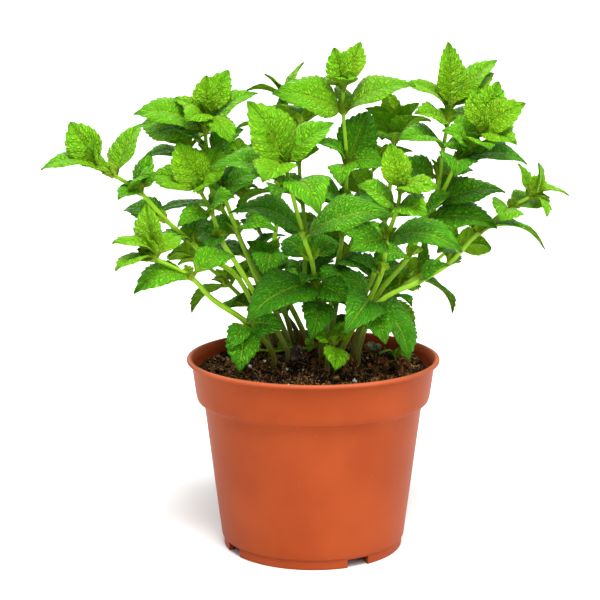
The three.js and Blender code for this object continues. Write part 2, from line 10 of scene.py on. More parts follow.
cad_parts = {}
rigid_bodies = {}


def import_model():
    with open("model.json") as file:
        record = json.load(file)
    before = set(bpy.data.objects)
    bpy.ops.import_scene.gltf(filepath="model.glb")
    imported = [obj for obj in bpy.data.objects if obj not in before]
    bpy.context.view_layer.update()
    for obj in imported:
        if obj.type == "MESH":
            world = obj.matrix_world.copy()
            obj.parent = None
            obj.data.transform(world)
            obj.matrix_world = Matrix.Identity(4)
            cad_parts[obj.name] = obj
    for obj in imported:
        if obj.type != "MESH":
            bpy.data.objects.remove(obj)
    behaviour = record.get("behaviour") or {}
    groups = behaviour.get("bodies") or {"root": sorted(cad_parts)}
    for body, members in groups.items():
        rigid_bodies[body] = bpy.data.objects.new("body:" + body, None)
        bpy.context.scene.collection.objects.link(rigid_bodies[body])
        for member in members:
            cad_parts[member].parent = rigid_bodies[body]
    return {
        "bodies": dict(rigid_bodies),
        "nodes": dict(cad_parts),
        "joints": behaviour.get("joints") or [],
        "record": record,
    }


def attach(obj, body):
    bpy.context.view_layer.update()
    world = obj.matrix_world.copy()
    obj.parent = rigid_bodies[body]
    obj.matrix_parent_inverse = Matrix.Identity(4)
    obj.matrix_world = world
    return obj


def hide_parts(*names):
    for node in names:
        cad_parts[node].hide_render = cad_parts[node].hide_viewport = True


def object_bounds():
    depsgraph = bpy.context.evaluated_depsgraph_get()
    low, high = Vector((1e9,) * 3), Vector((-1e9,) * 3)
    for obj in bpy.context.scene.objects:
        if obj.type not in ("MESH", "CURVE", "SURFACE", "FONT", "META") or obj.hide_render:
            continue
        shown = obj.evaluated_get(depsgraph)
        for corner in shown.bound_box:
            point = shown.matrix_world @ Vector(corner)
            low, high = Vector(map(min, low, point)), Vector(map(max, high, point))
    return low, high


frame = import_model()
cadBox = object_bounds()
print("frame loaded:", len(frame["nodes"]), "nodes")

mm = 0.001
degree = math.pi / 180
upward = np.array([0.0, 0.0, 1.0])


# shader maths

class Wire:
    # one output socket, so that shader maths reads as plain maths
    def __init__(self, paint, socket):
        self.paint = paint
        self.socket = socket

    def maths(self, operation, *values):
        return self.paint.add("ShaderNodeMath", {"operation": operation}, dict(enumerate(values)))

    def __add__(self, other):
        return self.maths("ADD", self, other)

    def __radd__(self, other):
        return self.maths("ADD", other, self)

    def __sub__(self, other):
        return self.maths("SUBTRACT", self, other)

    def __rsub__(self, other):
        return self.maths("SUBTRACT", other, self)

    def __mul__(self, other):
        return self.maths("MULTIPLY", self, other)

    def __rmul__(self, other):
        return self.maths("MULTIPLY", other, self)

    def size(self):
        return self.maths("ABSOLUTE", self)

    def most(self, other):
        return self.maths("MAXIMUM", self, other)

    def pingpong(self, other):
        return self.maths("PINGPONG", self, other)

    def cosine(self):
        return self.maths("COSINE", self)

    def fade(self, low, high):
        # 0 at low, 1 at high and smooth between
        settings = {"interpolation_type": "SMOOTHSTEP"}
        return self.paint.add("ShaderNodeMapRange", settings, {0: self, 1: low, 2: high})


class Paint:
    # a material with its nodes
    def __init__(self, name):
        self.material = bpy.data.materials.new(name)
        self.material.use_nodes = True
        self.tree = self.material.node_tree
        self.tree.nodes.clear()

    def add(self, kind, settings=None, values=None, output=0):
        node = self.tree.nodes.new(kind)
        for key, value in (settings or {}).items():
            if key == "stops":
                self.setStops(node.color_ramp, value)
            else:
                setattr(node, key, value)
        for key, value in (values or {}).items():
            if isinstance(value, Wire):
                self.tree.links.new(value.socket, node.inputs[key])
            else:
                node.inputs[key].default_value = value
        return Wire(self, node.outputs[output] if len(node.outputs) else None)

    def setStops(self, ramp, stops):
        while len(ramp.elements) < len(stops):
            ramp.elements.new(0.5)
        for element, (place, color) in zip(ramp.elements, stops):
            element.position = place
            element.color = (*color, 1)

    def attribute(self, name):
        return self.add("ShaderNodeAttribute", {"attribute_name": name}, output="Vector")

    def split(self, vector):
        node = self.add("ShaderNodeSeparateXYZ", values={0: vector}).socket.node
        return [Wire(self, output) for output in node.outputs]

    def joined(self, x, y, z):
        return self.add("ShaderNodeCombineXYZ", values={0: x, 1: y, 2: z})

    def objectPlace(self):
        return self.add("ShaderNodeTexCoord", output="Object")

    def noiseAt(self, vector, scale, detail=3.0, roughness=0.5):
        values = {"Vector": vector, "Scale": scale, "Detail": detail, "Roughness": roughness}
        return self.add("ShaderNodeTexNoise", values=values)

    def cellsAt(self, vector, scale, feature="F1"):
        values = {"Vector": vector, "Scale": scale}
        return self.add("ShaderNodeTexVoronoi", {"feature": feature}, values)

    def ramp(self, share, stops):
        return self.add("ShaderNodeValToRGB", {"stops": stops}, {0: share})

    def mixed(self, share, first, second, blend="MIX"):
        settings = {"data_type": "RGBA", "blend_type": blend}
        values = {0: share}
        for key, color in ((6, first), (7, second)):
            values[key] = color if isinstance(color, Wire) else (*color, 1)
        return self.add("ShaderNodeMix", settings, values, output=2)

    def bumped(self, height, distance):
        return self.add("ShaderNodeBump", values={"Height": height, "Distance": distance})

    def finish(self, values):
        shader = self.add("ShaderNodeBsdfPrincipled", values=values)
        self.add("ShaderNodeOutputMaterial", values={"Surface": shader})
        return self.material


# meshes

def newPiece(name, bm, materials, nodes=()):
    # turns a bmesh in millimetres into a piece of the object
    bmesh.ops.scale(bm, vec=(mm, mm, mm), verts=bm.verts)
    mesh = bpy.data.meshes.new(name)
    bm.to_mesh(mesh)
    bm.free()
    for material in materials:
        mesh.materials.append(material)
    mesh.shade_smooth()
    piece = bpy.data.objects.new(name, mesh)
    bpy.context.scene.collection.objects.link(piece)
    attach(piece, "root")
    if nodes:
        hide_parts(*nodes)
    return piece


def smoothShare(value, low, high):
    share = np.clip((value - low) / (high - low), 0, 1)
    return share * share * (3 - 2 * share)


def unit(vector):
    return vector / np.linalg.norm(vector)


def turned(vector, axis, angle):
    return (vector * math.cos(angle) + np.cross(axis, vector) * math.sin(angle)
            + axis * np.dot(axis, vector) * (1 - math.cos(angle)))


def between(a, b, share):
    return a + (b - a) * share


# the plan of the plant, in millimetres: each node of a stem is its point, then the reach of each of
# its leaves from root to tip, and how far that leaf turns its face to the side of the plant

growth = {
    "seed": 2024,
    "stemFoot": 79,
    "stemRise": 101,
    "stemHalf": 1.45,
    "branchShare": 0.8,  # how thick a branch starts, as a share of a stem's foot
    "stemTipHalf": 0.75,
    "budLength": 1.6,
    "rootSink": 1,
    "rootDrop": 0.7,
    "stalk": 4.2,
    "stalkHalf": 1.1,
    "bladeSwell": 0.74,
    "bladeRoundness": 0.88,
    "bladeFold": 0.3,
    "plumpness": (0.53, 0.65),
    "arch": (0.08, 0.2),
    "roll": (-16, 16),
    "facing": 0.6,
    "sideTurn": 0.7,
    "sideMiddle": 30,
    "sideSoftness": 20,
    "leafClearance": 4,
    "ownClearance": 2.4,
    "potClearance": 3,
    "collarTopRadius": 62.4,
    "lipRadius": 65,
    "potHeight": 99,
    "soilEdgeHeight": 91.5,
    "soilCrown": (-3, 12),
    "soilCrownRise": 5.5,
    "soilCrownSpread": 34,
}

shoots = [
    {"name": "stem_far_left", "foot": (-22, 10), "nodes": [
        [(-38, 9, 137)],
        [(-53, 2, 149)],
        [(-61, -8, 159), (8, 20, 12), (-17, -16, 3, 0.3)],
        [(-73, -15, 171), (-24, 11, 6, 0.5)],
        [(-85, -22, 186), (-10, -16, 0), (12, -22, 8), (5, -2, 20)],
        [(-97, -28, 195), (-37, -4, 5, 0.1), (12, 10, 26, 0.5)],
        [(-104, -31, 200), (-15, 3, 22), (1, -10, 15)],
    ]},
    {"name": "stem_low_left", "foot": (-20, -10), "nodes": [
        [(-33, -24, 121), (-4, -16, -21), (-12, -14, -10), (14, -16, -9)],
        [(-49, -36, 135)],
        [(-59, -47, 148), (-27, -16, -3, 0.2), (21, 14, 10)],
        [(-75, -58, 159), (-5, 3, 27), (-26, -6, 12, 0.4), (-18, -18, -2, 0.4), (10, 16, 10)],
    ]},
    {"name": "stem_left", "foot": (-13, -1), "nodes": [
        [(-37, -3, 144)],
        [(-46, -4, 159), (-10, -16, -2)],
        [(-51, -7, 174), (11, -19, 12), (-11, -21, 6)],
        [(-56, -13, 185), (-12, 2, 26), (9, 8, 24), (-31, -12, 10, 0.4), (8, -20, 8)],
    ]},
    {"name": "stem_left_behind", "foot": (-20, 23), "nodes": [
        [(-34, 27, 146), (-24, 18, 2), (18, 20, 4), (-22, -17, 0)],
        [(-48, 28, 172), (-38, -6, -2), (16, 24, 6)],
        [(-58, 26, 192), (-32, -10, 8, 0.6), (16, 20, 8)],
        [(-64, 23, 205), (-18, -4, 18), (2, 8, 24), (-12, -18, 10), (14, -10, 18)],
    ]},
    {"name": "stem_upper_left", "foot": (-12, 17), "nodes": [
        [(-32, 17, 144)],
        [(-39, 14, 161), (-22, 20, 4), (20, -14, 5)],
        [(-46, 9, 182), (24, 12, 8), (-20, -22, 4), (9, -9, 18)],
        [(-53, 4, 202), (-30, -14, 4, 0.5), (20, -20, -5)],
        [(-54, 1, 214), (-36, -6, 11, 0.5), (-33, 22, 4), (26, 4, 21, 0.5)],
        [(-53, -3, 222), (11, 5, 24, 0.5), (0, 7, 23, 0.7), (-12, -4, 18), (-18, -17, 11), (15, -23, -6)],
    ]},
    {"name": "stem_top_left", "foot": (-3, 24), "nodes": [
        [(-20, 15, 139), (13, 22, 4), (-24, 18, 2), (13, -19, -5)],
        [(-21, 15, 150), (-13, -24, -20), (9, -11, 3)],
        [(-19, 17, 163)],
        [(-17, 20, 182), (-24, 20, -6), (22, 22, -4), (-11, -16, 8), (10, -10, 10)],
        [(-15, 24, 206), (-26, 14, 9), (26, 14, -2), (11, -10, 8)],
        [(-14, 25, 219), (8, -26, 6), (-4, 26, 4), (-12, -13, 6)],
        [(-14, 26, 228), (9, 2, 21), (2, -6, 18), (-11, 0, 15), (-21, 2, 11, 0.5)],
    ]},
    {"name": "stem_centre_front", "foot": (4, -6), "nodes": [
        [(3, -13, 131), (-4, -22, -15), (-17, -17, -2)],
        [(1, -20, 140), (-34, -28, -10), (-7, -20, 6), (18, -16, -5)],
        [(-1, -26, 153), (-15, 16, 10), (13, 14, 10)],
        [(-5, -34, 166), (-35, -6, 16, 0.6), (43, -18, 15, 0.5)],
        [(-11, -43, 190), (-39, -6, 14, 0.5), (13, -38, -4)],
        [(-14, -48, 202), (23, -1, 22, 0.6), (-17, -9, 32), (-10, -30, -3)],
        [(-19, -52, 209)],
    ]},
    {"name": "stem_centre", "foot": (6, 12), "nodes": [
        [(13, 12, 146), (-2, -27, -17), (14, -16, 1)],
        [(15, 12, 160), (20, -26, -4), (-8, 26, 4), (-13, -20, 5)],
        [(16, 10, 177), (26, 6, -6), (-24, 10, 2), (15, -14, 0), (-18, -18, 10)],
        [(17, 8, 197), (-17, -8, 14), (21, -4, 1), (12, 14, 28), (-4, -24, -6)],
        [(15, 6, 223), (-36, -10, 12), (36, -6, 16, 0.7), (6, 28, 6)],
        [(15, 4, 235), (-5, -3, 22), (9, 8, 25), (-14, 12, 9), (2, -16, 10)],
    ]},
    {"name": "stem_behind", "foot": (14, 24), "nodes": [
        [(31, 26, 134), (22, 20, 2), (-12, 24, 6), (-14, -10, -5)],
        [(38, 32, 165), (14, 26, 2), (-20, 12, 8), (-11, -22, 0)],
        [(42, 37, 193), (24, 13, -6), (-24, 12, -2)],
        [(43, 39, 205), (-8, -26, 6), (6, 26, 2), (-12, -9, 19), (11, -13, 17)],
        [(43, 40, 214), (-5, 0, 20), (8, 0, 20), (-17, 2, 11), (20, 0, 8)],
    ]},
    {"name": "stem_upper_right", "foot": (21, 13), "nodes": [
        [(33, 8, 129)],
        [(49, 5, 150), (-20, -17, 0)],
        [(57, 5, 169), (40, -8, 1, 0.6), (12, -11, 17)],
        [(62, 5, 176), (40, 4, 2, 0.3), (24, 19, 12)],
        [(64, 7, 190), (-28, 8, 4), (16, 26, 2)],
        [(66, 8, 206), (-24, -20, 7), (14, -26, 0)],
        [(68, 9, 217), (6, 28, 6), (-18, -16, 8)],
        [(69, 10, 225), (-1, -2, 35, 0.4), (15, 4, 30, 0.7), (31, 0, 21, 0.6), (-27, -2, 14)],
    ]},
    {"name": "branch_right", "from": "stem_upper_right", "nodes": [
        [(62, 5, 176)],
        [(67, 1, 187)],
        [(71, -6, 198), (36, -5, 12, 0.3), (4, -30, 0)],
        [(77, -10, 207), (-5, 24, 7), (8, -26, 3), (-12, -14, 11)],
        [(82, -14, 214), (9, 0, 27), (-1, 6, 24), (18, 4, 20), (27, -3, 12), (14, -20, 2),
         (-8, -14, 15), (20, -4, 16)],
    ]},
    {"name": "stem_front_right", "foot": (13, -13), "nodes": [
        [(27, -24, 132), (-19, -32, -7), (8, -26, -14), (-13, -6, 18)],
        [(33, -33, 148), (-15, -7, 10)],
        [(35, -43, 166), (-19, -18, 10), (34, -24, 1, 0.8)],
        [(39, -54, 182), (-19, -12, 14), (8, -26, 1)],
        [(40, -59, 191), (-5, 0, 24), (17, -6, 12), (13, -18, 2)],
    ]},
    {"name": "stem_far_right", "foot": (23, -3), "nodes": [
        [(33, -4, 127), (16, -28, -21, 0.1), (12, 20, 3)],
        [(54, -2, 138), (14, -10, 12)],
        [(69, 0, 147), (-2, 26, 4)],
        [(83, 1, 162), (37, 3, -5, 0.1), (-2, 14, 18)],
        [(99, 1, 175), (-7, -29, -1), (17, 25, 6)],
        [(110, 2, 181), (-6, 0, 18), (3, -12, 19), (22, 4, 1, 0.2), (10, 12, 14),
         (10, -16, -2, 0.5)],
    ]},
    {"name": "stem_low_front", "foot": (7, -19), "nodes": [
        [(8, -20, 105)],
        [(10, -22, 110), (1, -18, -9), (-15, -8, 5), (6, 2, 15)],
    ]},
]

# the shoots at the back, which the photograph hides
bushStems = [
    {"name": "stem_back_1", "foot": (-1, 33), "heading": 98, "out": 54, "top": 212},
    {"name": "stem_back_2", "foot": (10, 35), "heading": 60, "out": 68, "top": 190},
    {"name": "stem_back_3", "foot": (-11, 30), "heading": 128, "out": 68, "top": 190},
    {"name": "stem_back_4", "foot": (5, 42), "heading": 84, "out": 64, "top": 150},
    {"name": "stem_back_5", "foot": (22, 25), "heading": 31, "out": 87, "top": 147},
    {"name": "stem_back_6", "foot": (-20, 35), "heading": 142, "out": 78, "top": 140},
    {"name": "stem_back_7", "foot": (-8, 41), "heading": 116, "out": 65, "top": 128},
    {"name": "stem_back_8", "foot": (19, 36), "heading": 50, "out": 74, "top": 124},
]

bush = {
    "tallFrom": 160,
    "lowJoints": 3,
    "tallJoints": 5,
    "outward": 1.15,
    "climb": 0.85,
    "wander": (-2, 2),
    "twist": (-15, 15),
    "lift": (10, 30),  # degrees, at the foot and at the tip
    "leaf": (34, 25),
    "youngLift": 58,
    "youngLeaf": 17,
    "unevenness": (0.9, 1.08),
}


class Draws:
    # a small generator that gives the plan the same numbers wherever it is worked out
    def __init__(self, seed):
        self.seed = seed

    def __call__(self, low, high):
        self.seed = (self.seed * 16807) % 2147483647
        return low + ((high - low) * self.seed) / 2147483647


draw = Draws(growth["seed"])


def roundStem(tangent, angle):
    # a direction square to the stem, at an angle round it from level
    level = np.array([-tangent[1], tangent[0], 0.0])
    if np.linalg.norm(level) < 0.05:
        level = np.array([1.0, 0.0, 0.0])
    return turned(unit(level), tangent, angle * degree)


def raised(level, axis, lift):
    # a direction that stands up from level toward an axis, by degrees
    return level * math.cos(lift * degree) + axis * math.sin(lift * degree)


def leafPair(tangent, angle, lift, length):
    pair = []
    for half in (0, 180):
        reach = raised(roundStem(tangent, angle + half), tangent, lift)
        pair.append(reach * length * draw(*bush["unevenness"]))
    return pair


def bushShoot(stem):
    joints = bush["tallJoints"] if stem["top"] > bush["tallFrom"] else bush["lowJoints"]
    foot = stem["foot"]
    heading = stem["heading"] * degree
    tip = (stem["out"] * math.cos(heading), stem["out"] * math.sin(heading))
    points = []
    for i in range(1, joints + 1):
        share = i / joints
        x, y = [between(a, b, share ** bush["outward"]) + draw(*bush["wander"]) for a, b in zip(foot, tip)]
        points.append(np.array([x, y, between(growth["stemRise"], stem["top"], share ** bush["climb"])]))
    nodes = []
    for i, point in enumerate(points):
        before = points[i - 1] if i > 0 else np.array([*foot, growth["stemRise"]])
        tangent = unit(point - before)
        length = between(*bush["leaf"], i / joints)
        angle = 90 * i + draw(*bush["twist"])
        leaves = leafPair(tangent, angle, between(*bush["lift"], i / joints), length)
        if i == joints - 1:
            leaves += leafPair(tangent, 90 * i + 90, bush["youngLift"], bush["youngLeaf"])
        nodes.append([point, *leaves])
    return {"name": stem["name"], "foot": foot, "nodes": nodes}


def smoothLine(points, steps):
    line = []
    last = len(points) - 1
    for i in range(last):
        a, b, c, d = (np.array(points[min(max(i + k, 0), last)], float) for k in (-1, 0, 1, 2))
        for k in range(steps):
            t = k / steps
            line.append(0.5 * (2 * b + (c - a) * t + (2 * a - 5 * b + 4 * c - d) * t * t
                               + (3 * b - a - 3 * c + d) * t * t * t))
    line.append(np.array(points[last], float))
    return line


def stemPoints(shoot):
    points = [np.array(node[0][:3], float) for node in shoot["nodes"]]
    points.append(points[-1] + unit(points[-1] - points[-2]) * growth["budLength"])
    if "foot" in shoot:
        foot = [np.array([*shoot["foot"], growth[key]], float) for key in ("stemFoot", "stemRise")]
        points = foot + points
    return points


def stemLine(shoot, steps):
    line = smoothLine(stemPoints(shoot), steps)
    if "foot" in shoot:
        del line[1:steps]  # the foot stays straight
    return line


def tangentsOf(line):
    last = len(line) - 1
    return [unit(line[min(i + 1, last)] - line[max(i - 1, 0)]) for i in range(last + 1)]


def soilHeight(x, y):
    # the lie of the soil: a heap round the plant and low waves, as on the solid
    crown = growth["soilCrown"]
    reach = math.hypot(x - crown[0], y - crown[1])
    heap = growth["soilCrownRise"] * math.exp(-((reach / growth["soilCrownSpread"]) ** 2))
    waves = (0.9 * math.sin(x * 0.31 + 1.2) * math.cos(y * 0.27)
             + 0.6 * math.sin(x * 0.53 - y * 0.61) + 0.4 * math.cos(x * 0.83 + y * 0.47))
    return growth["soilEdgeHeight"] + heap + waves


def makeLeaf(root, reach, tangent, width, arch, roll, turn):
    length = np.linalg.norm(reach)
    forward = reach / length
    facing = tangent * growth["facing"] + upward * growth["facing"]
    side = min(max((root[1] - growth["sideMiddle"]) / growth["sideSoftness"], -1), 1)
    facing[1] += turn * growth["sideTurn"] * side
    facing = facing - forward * np.dot(facing, forward)
    if np.linalg.norm(facing) < 0.1:
        facing = roundStem(forward, 0)
    normal = turned(unit(facing), forward, roll * degree)
    return {"root": root, "length": length, "forward": forward, "normal": normal,
            "side": np.cross(forward, normal), "width": width, "arch": arch,
            "stalkShare": growth["stalk"] / length}


def halfWidth(leaf, along):
    stalk = leaf["stalkShare"]
    t = np.clip((along - stalk) / (1 - stalk), 0, 1)
    fullness = np.maximum(np.sin(np.pi * t ** growth["bladeSwell"]), 0) ** growth["bladeRoundness"]
    blade = 0.5 * leaf["width"] * fullness + growth["stalkHalf"] * (1 - t)
    return np.where(along <= stalk, growth["stalkHalf"], blade)


def leafPoints(leaf, along, across, lift=0.0):
    sideways = halfWidth(leaf, along) * across
    bow = 4 * along * (1 - along) * leaf["arch"] * leaf["length"]
    fold = growth["bladeFold"] * np.abs(sideways) * np.minimum(1, along / leaf["stalkShare"])
    rise = bow + fold + lift
    return (leaf["root"] + np.outer(along * leaf["length"], leaf["forward"])
            + np.outer(sideways, leaf["side"]) + np.outer(rise, leaf["normal"]))


# where on a leaf the points lie that look for room, as shares along and across it, and the points that
# other leaves and stems have taken

sampleAlong = np.repeat([0.2, 0.32, 0.44, 0.56, 0.68, 0.8, 0.9, 1], 5)
sampleAcross = np.tile([-0.9, -0.45, 0, 0.45, 0.9], 8)
sampleOuter = sampleAlong > 0.4  # nearer the stem, its own leaves may touch
sampleRoom = 20000

taken = {
    "count": 0,
    "points": np.zeros((sampleRoom, 3)),
    "outer": np.zeros(sampleRoom, bool),
    "body": np.zeros(sampleRoom, int),
}
bodyNumbers = {}

# leaves are bent clear of each other by the first of these that is free: degrees round the upright,
# degrees up and share of the length

bendSteps = (12, 24, 36, 50)
bendShortening = 250  # the bend in degrees that would leave no length
bends = [(0, 0, 1)]
for bendSize in bendSteps:
    for aside, rise in ((1, 0), (-1, 0), (0, 1), (0, -1), (1, 1), (-1, 1), (1, -1), (-1, -1)):
        bends.append((aside * bendSize, rise * bendSize, 1 - bendSize / bendShortening))


def take(points, body, outer):
    start, end = taken["count"], taken["count"] + len(points)
    taken["points"][start:end] = points
    taken["outer"][start:end] = outer
    taken["body"][start:end] = bodyNumbers.setdefault(body, len(bodyNumbers))
    taken["count"] = end


def bentReach(reach, bend):
    aside, rise, shrink = bend
    bent = turned(reach, upward, aside * degree)
    hinge = np.array([bent[1], -bent[0], 0.0])
    if np.linalg.norm(hinge) < 0.5:
        hinge = np.array([1.0, 0.0, 0.0])
    return turned(bent, unit(hinge), rise * degree) * shrink


def clearOfPot(points):
    clearance = growth["potClearance"]
    for x, y, z in points:
        radius = math.hypot(x, y)
        if radius < growth["collarTopRadius"] - clearance:
            clear = z > soilHeight(x, y) + clearance
        else:
            clear = radius > growth["lipRadius"] + clearance or z > growth["potHeight"] + clearance
        if not clear:
            return False
    return True


def isClear(points, body):
    if not clearOfPot(points):
        return False
    count = taken["count"]
    others = taken["points"][:count]
    own = taken["body"][:count] == bodyNumbers[body]
    outer = taken["outer"][:count]
    apart = ((points[:, None, :] - others[None, :, :]) ** 2).sum(axis=2)
    near = np.where(own[None, :], growth["ownClearance"], growth["leafClearance"]) ** 2
    counted = ~own[None, :] | (sampleOuter[:, None] & outer[None, :])
    return not np.any(counted & (apart <= near))


def placeLeaf(shoot, node, reach, tangent, turn):
    plumpness = draw(*growth["plumpness"])
    arch = draw(*growth["arch"]) * math.hypot(reach[0], reach[1]) / np.linalg.norm(reach)
    roll = draw(*growth["roll"])
    for bend in bends:
        bent = bentReach(reach, bend)
        length = np.linalg.norm(bent)
        root = node - bent * growth["rootSink"] / length - tangent * growth["rootDrop"]
        leaf = makeLeaf(root, bent, tangent, length * plumpness, arch, roll, turn)
        points = leafPoints(leaf, sampleAlong, sampleAcross)
        if isClear(points, shoot["body"]):
            take(points, shoot["body"], sampleOuter)
            return leaf
    return None


def growLeaves(shoot):
    shoot["leaves"] = []
    nodes = shoot["nodes"]
    for i, node in enumerate(nodes):
        point = np.array(node[0], float)
        before = nodes[i - 1][0] if i > 0 else (*shoot.get("foot", node[0][:2]), growth["stemRise"])
        tangent = unit(point - np.array(before, float))
        for reach in node[1:]:
            turn = reach[3] if len(reach) > 3 else 1
            leaf = placeLeaf(shoot, point, np.array(reach[:3], float), tangent, turn)
            if leaf:
                leaf["level"] = i / (len(nodes) - 1)
                shoot["leaves"].append(leaf)


allShoots = shoots + [bushShoot(stem) for stem in bushStems]
for shoot in allShoots:
    shoot["body"] = shoot.get("from", shoot["name"])
    samples = smoothLine(stemLine(shoot, 2), 3)
    take(samples, shoot["body"], False)
for shoot in allShoots:
    growLeaves(shoot)
print("plan grown:", sum(len(shoot["leaves"]) for shoot in allShoots), "leaves")


# leaf blades

blade = {
    "toothSpacing": 3.2,
    "toothDepth": 1.05,
    "fewestTeeth": 4,
    "mostTeeth": 12,
    "tooth": ((0.0, -0.5), (0.42, 0.0), (0.8, 0.5)),  # share of its spacing and of its depth
    "toothLean": 0.3,
    "toothLimit": 0.2,  # of the half width
    "youngTeeth": 0.3,  # how much shallower
    "columns": 10,
    "thickness": 0.42,
    "edgeThinning": 0.5,
    "veinSpacing": 4.6,
    "fewestVeins": 4,
    "veinSweep": 0.2,
    "quilt": 0.65,
    "quiltLength": 34,
    "ribGroove": 0.3,
    "ribWidth": 0.9,
    "edgeWave": 0.09,
    "waves": 1.6,
    "youngRoundness": 0.28,
    "widestAt": 0.4,
    "marginRoll": 0.16,
    "tipDroop": 0.1,
    "droopFrom": 0.62,
    "youngDroop": 0.7,  # how much less
    "stalkDepth": 1.5,
    "ribDepth": 0.45,
    "ribBackWidth": 0.85,
    "ribTaper": 0.75,
    "boxMargin": 0.5,
}

leafDraw = random.Random(11)
lowRoom = np.array(cadBox[0]) / mm + blade["boxMargin"]
highRoom = np.array(cadBox[1]) / mm - blade["boxMargin"]


def drawnIn(points, root):
    # a leaf is drawn in toward its root as far as the CAD box asks
    share = 1.0
    upSide = (points.max(axis=0) - root, highRoom - root)
    downSide = (root - points.min(axis=0), root - lowRoom)
    for reach, room in (upSide, downSide):
        over = reach > room
        if over.any():
            share = min(share, (room[over] / reach[over]).min())
    return root + (points - root) * share


def bladeRows(leaf):
    # the share along the leaf of each row, and how far its edge stands out past the plain outline, in mm
    stalk = leaf["stalkShare"]
    teeth = round(leaf["length"] * (1 - stalk) / blade["toothSpacing"])
    teeth = min(max(teeth, blade["fewestTeeth"]), blade["mostTeeth"])
    rows = [(0.6 / leaf["length"], -0.5), (stalk * 0.6, -0.2), (stalk, 0)]  # the stalk widens to the blade
    for i in range(teeth):
        for step, reach in blade["tooth"]:
            if i + step > 0:
                rows.append((between(stalk, 1, (i + step) / teeth), reach * blade["toothDepth"]))
    rows.append((1.0, 0.0))
    return rows, teeth


def bladeShareOf(leaf, along):
    # 0 to the end of the stalk and then up to 1 at the tip
    return np.clip((along - leaf["stalkShare"]) / (1 - leaf["stalkShare"]), 0, 1)


def bladeLift(leaf, youth, veins, column, along, across, place, half):
    # how high the upper face stands: quilted between the veins, grooved along the rib, waved at the edge,
    # rolled down at the margin and drooping to the tip
    reach = np.abs(column)
    length = leaf["length"]
    fromVein = np.abs((place - blade["veinSweep"] * reach) * veins % 1 - 0.5) * 2  # 1 on a vein
    quilt = blade["quilt"] * min(length / blade["quiltLength"], 1.1) * np.cos(fromVein * np.pi / 2) ** 0.7
    quilt *= np.sin(np.pi * np.clip(reach, 0, 1) ** 0.7) * np.minimum(bladeShareOf(leaf, along) * 6, 1)
    groove = blade["ribGroove"] * np.exp(-(across * half / blade["ribWidth"]) ** 2)
    phase = leafDraw.uniform(0, 1)
    turns = np.sin(2 * np.pi * (blade["waves"] * along + phase) + np.sign(column))
    wave = blade["edgeWave"] * half * reach ** 2 * turns
    tipShare = np.clip((along - blade["droopFrom"]) / (1 - blade["droopFrom"]), 0, 1)
    droop = blade["tipDroop"] * length * tipShare ** 2 * (1 - blade["youngDroop"] * youth)
    return quilt - groove + wave - droop - blade["marginRoll"] * half * reach ** 4 + blade["thickness"] / 2


def addLeaf(bm, layers, leaf, youth, shade):
    rows, teeth = bladeRows(leaf)
    made = bmesh.ops.create_grid(bm, x_segments=len(rows) - 1, y_segments=blade["columns"], size=1)["verts"]
    column = np.array([-v.co.y for v in made])  # this way round the faces look outward
    row = np.array([round((v.co.x + 1) / 2 * (len(rows) - 1)) for v in made])
    length = leaf["length"]
    along = np.array([rows[i][0] for i in row])
    edge = np.array([rows[i][1] for i in row]) * (1 - blade["youngTeeth"] * youth)
    half = halfWidth(leaf, along)
    bladeShare = bladeShareOf(leaf, along)
    column = column * (1 + blade["youngRoundness"] * youth * (bladeShare - blade["widestAt"]))
    reach = np.abs(column)
    isBlade = along > leaf["stalkShare"]
    limit = blade["toothLimit"]
    stand = np.clip(edge / np.maximum(half, 0.4), -limit, limit) * reach ** 4
    stand = np.where(isBlade, stand, edge * 0.8 * reach)
    across = column * (1 + stand)
    isPoint = edge > 0.3
    lean = blade["toothLean"] / teeth * reach ** 5 * isPoint * isBlade  # teeth lean to the tip
    place = along + lean * (1 - along)

    veins = max(length / blade["veinSpacing"], blade["fewestVeins"])
    lift = bladeLift(leaf, youth, veins, column, along, across, place, half)
    points = drawnIn(leafPoints(leaf, place, across, lift), leaf["root"])

    # the under face, with the stalk and the midrib standing out of it
    depth = between(blade["stalkDepth"], blade["ribDepth"], smoothShare(along * length, 2, 9))
    depth = depth * (1 - blade["ribTaper"] * bladeShare)
    depth = depth * np.exp(-(across * half / blade["ribBackWidth"]) ** 2)
    thickness = blade["thickness"] * (1 - blade["edgeThinning"] * reach ** 6)
    tint = leafDraw.random()
    offset = leafDraw.uniform(0, 50)
    down = Vector(leaf["normal"])
    for i, v in enumerate(made):
        v.co = points[i]
        v[layers["place"]] = (place[i], across[i], 0)
        v[layers["flat"]] = (place[i] * length, across[i] * half[i] + offset, veins)
        v[layers["tone"]] = (youth, tint, shade)
        v[layers["home"]] = v.co - down * (thickness[i] + depth[i])
    bmesh.ops.remove_doubles(bm, verts=made, dist=1e-4)
    faces = {face for v in made if v.is_valid for face in v.link_faces}
    shell = bmesh.ops.solidify(bm, geom=list(faces), thickness=blade["thickness"])["geom"]
    for v in shell:
        if isinstance(v, bmesh.types.BMVert):
            v.co = v[layers["home"]]
            v[layers["place"]].z = 1


# stems

stemLook = {
    "sides": 16,
    "steps": 5,
    "squareness": 3.2,
    "groove": 0.07,
    "nodeSwell": 0.16,
    "nodeReach": 2.2,
}


def stemHalfAt(shoot, share):
    first = growth["stemHalf"] if "foot" in shoot else growth["stemHalf"] * growth["branchShare"]
    return between(first, growth["stemTipHalf"], share)


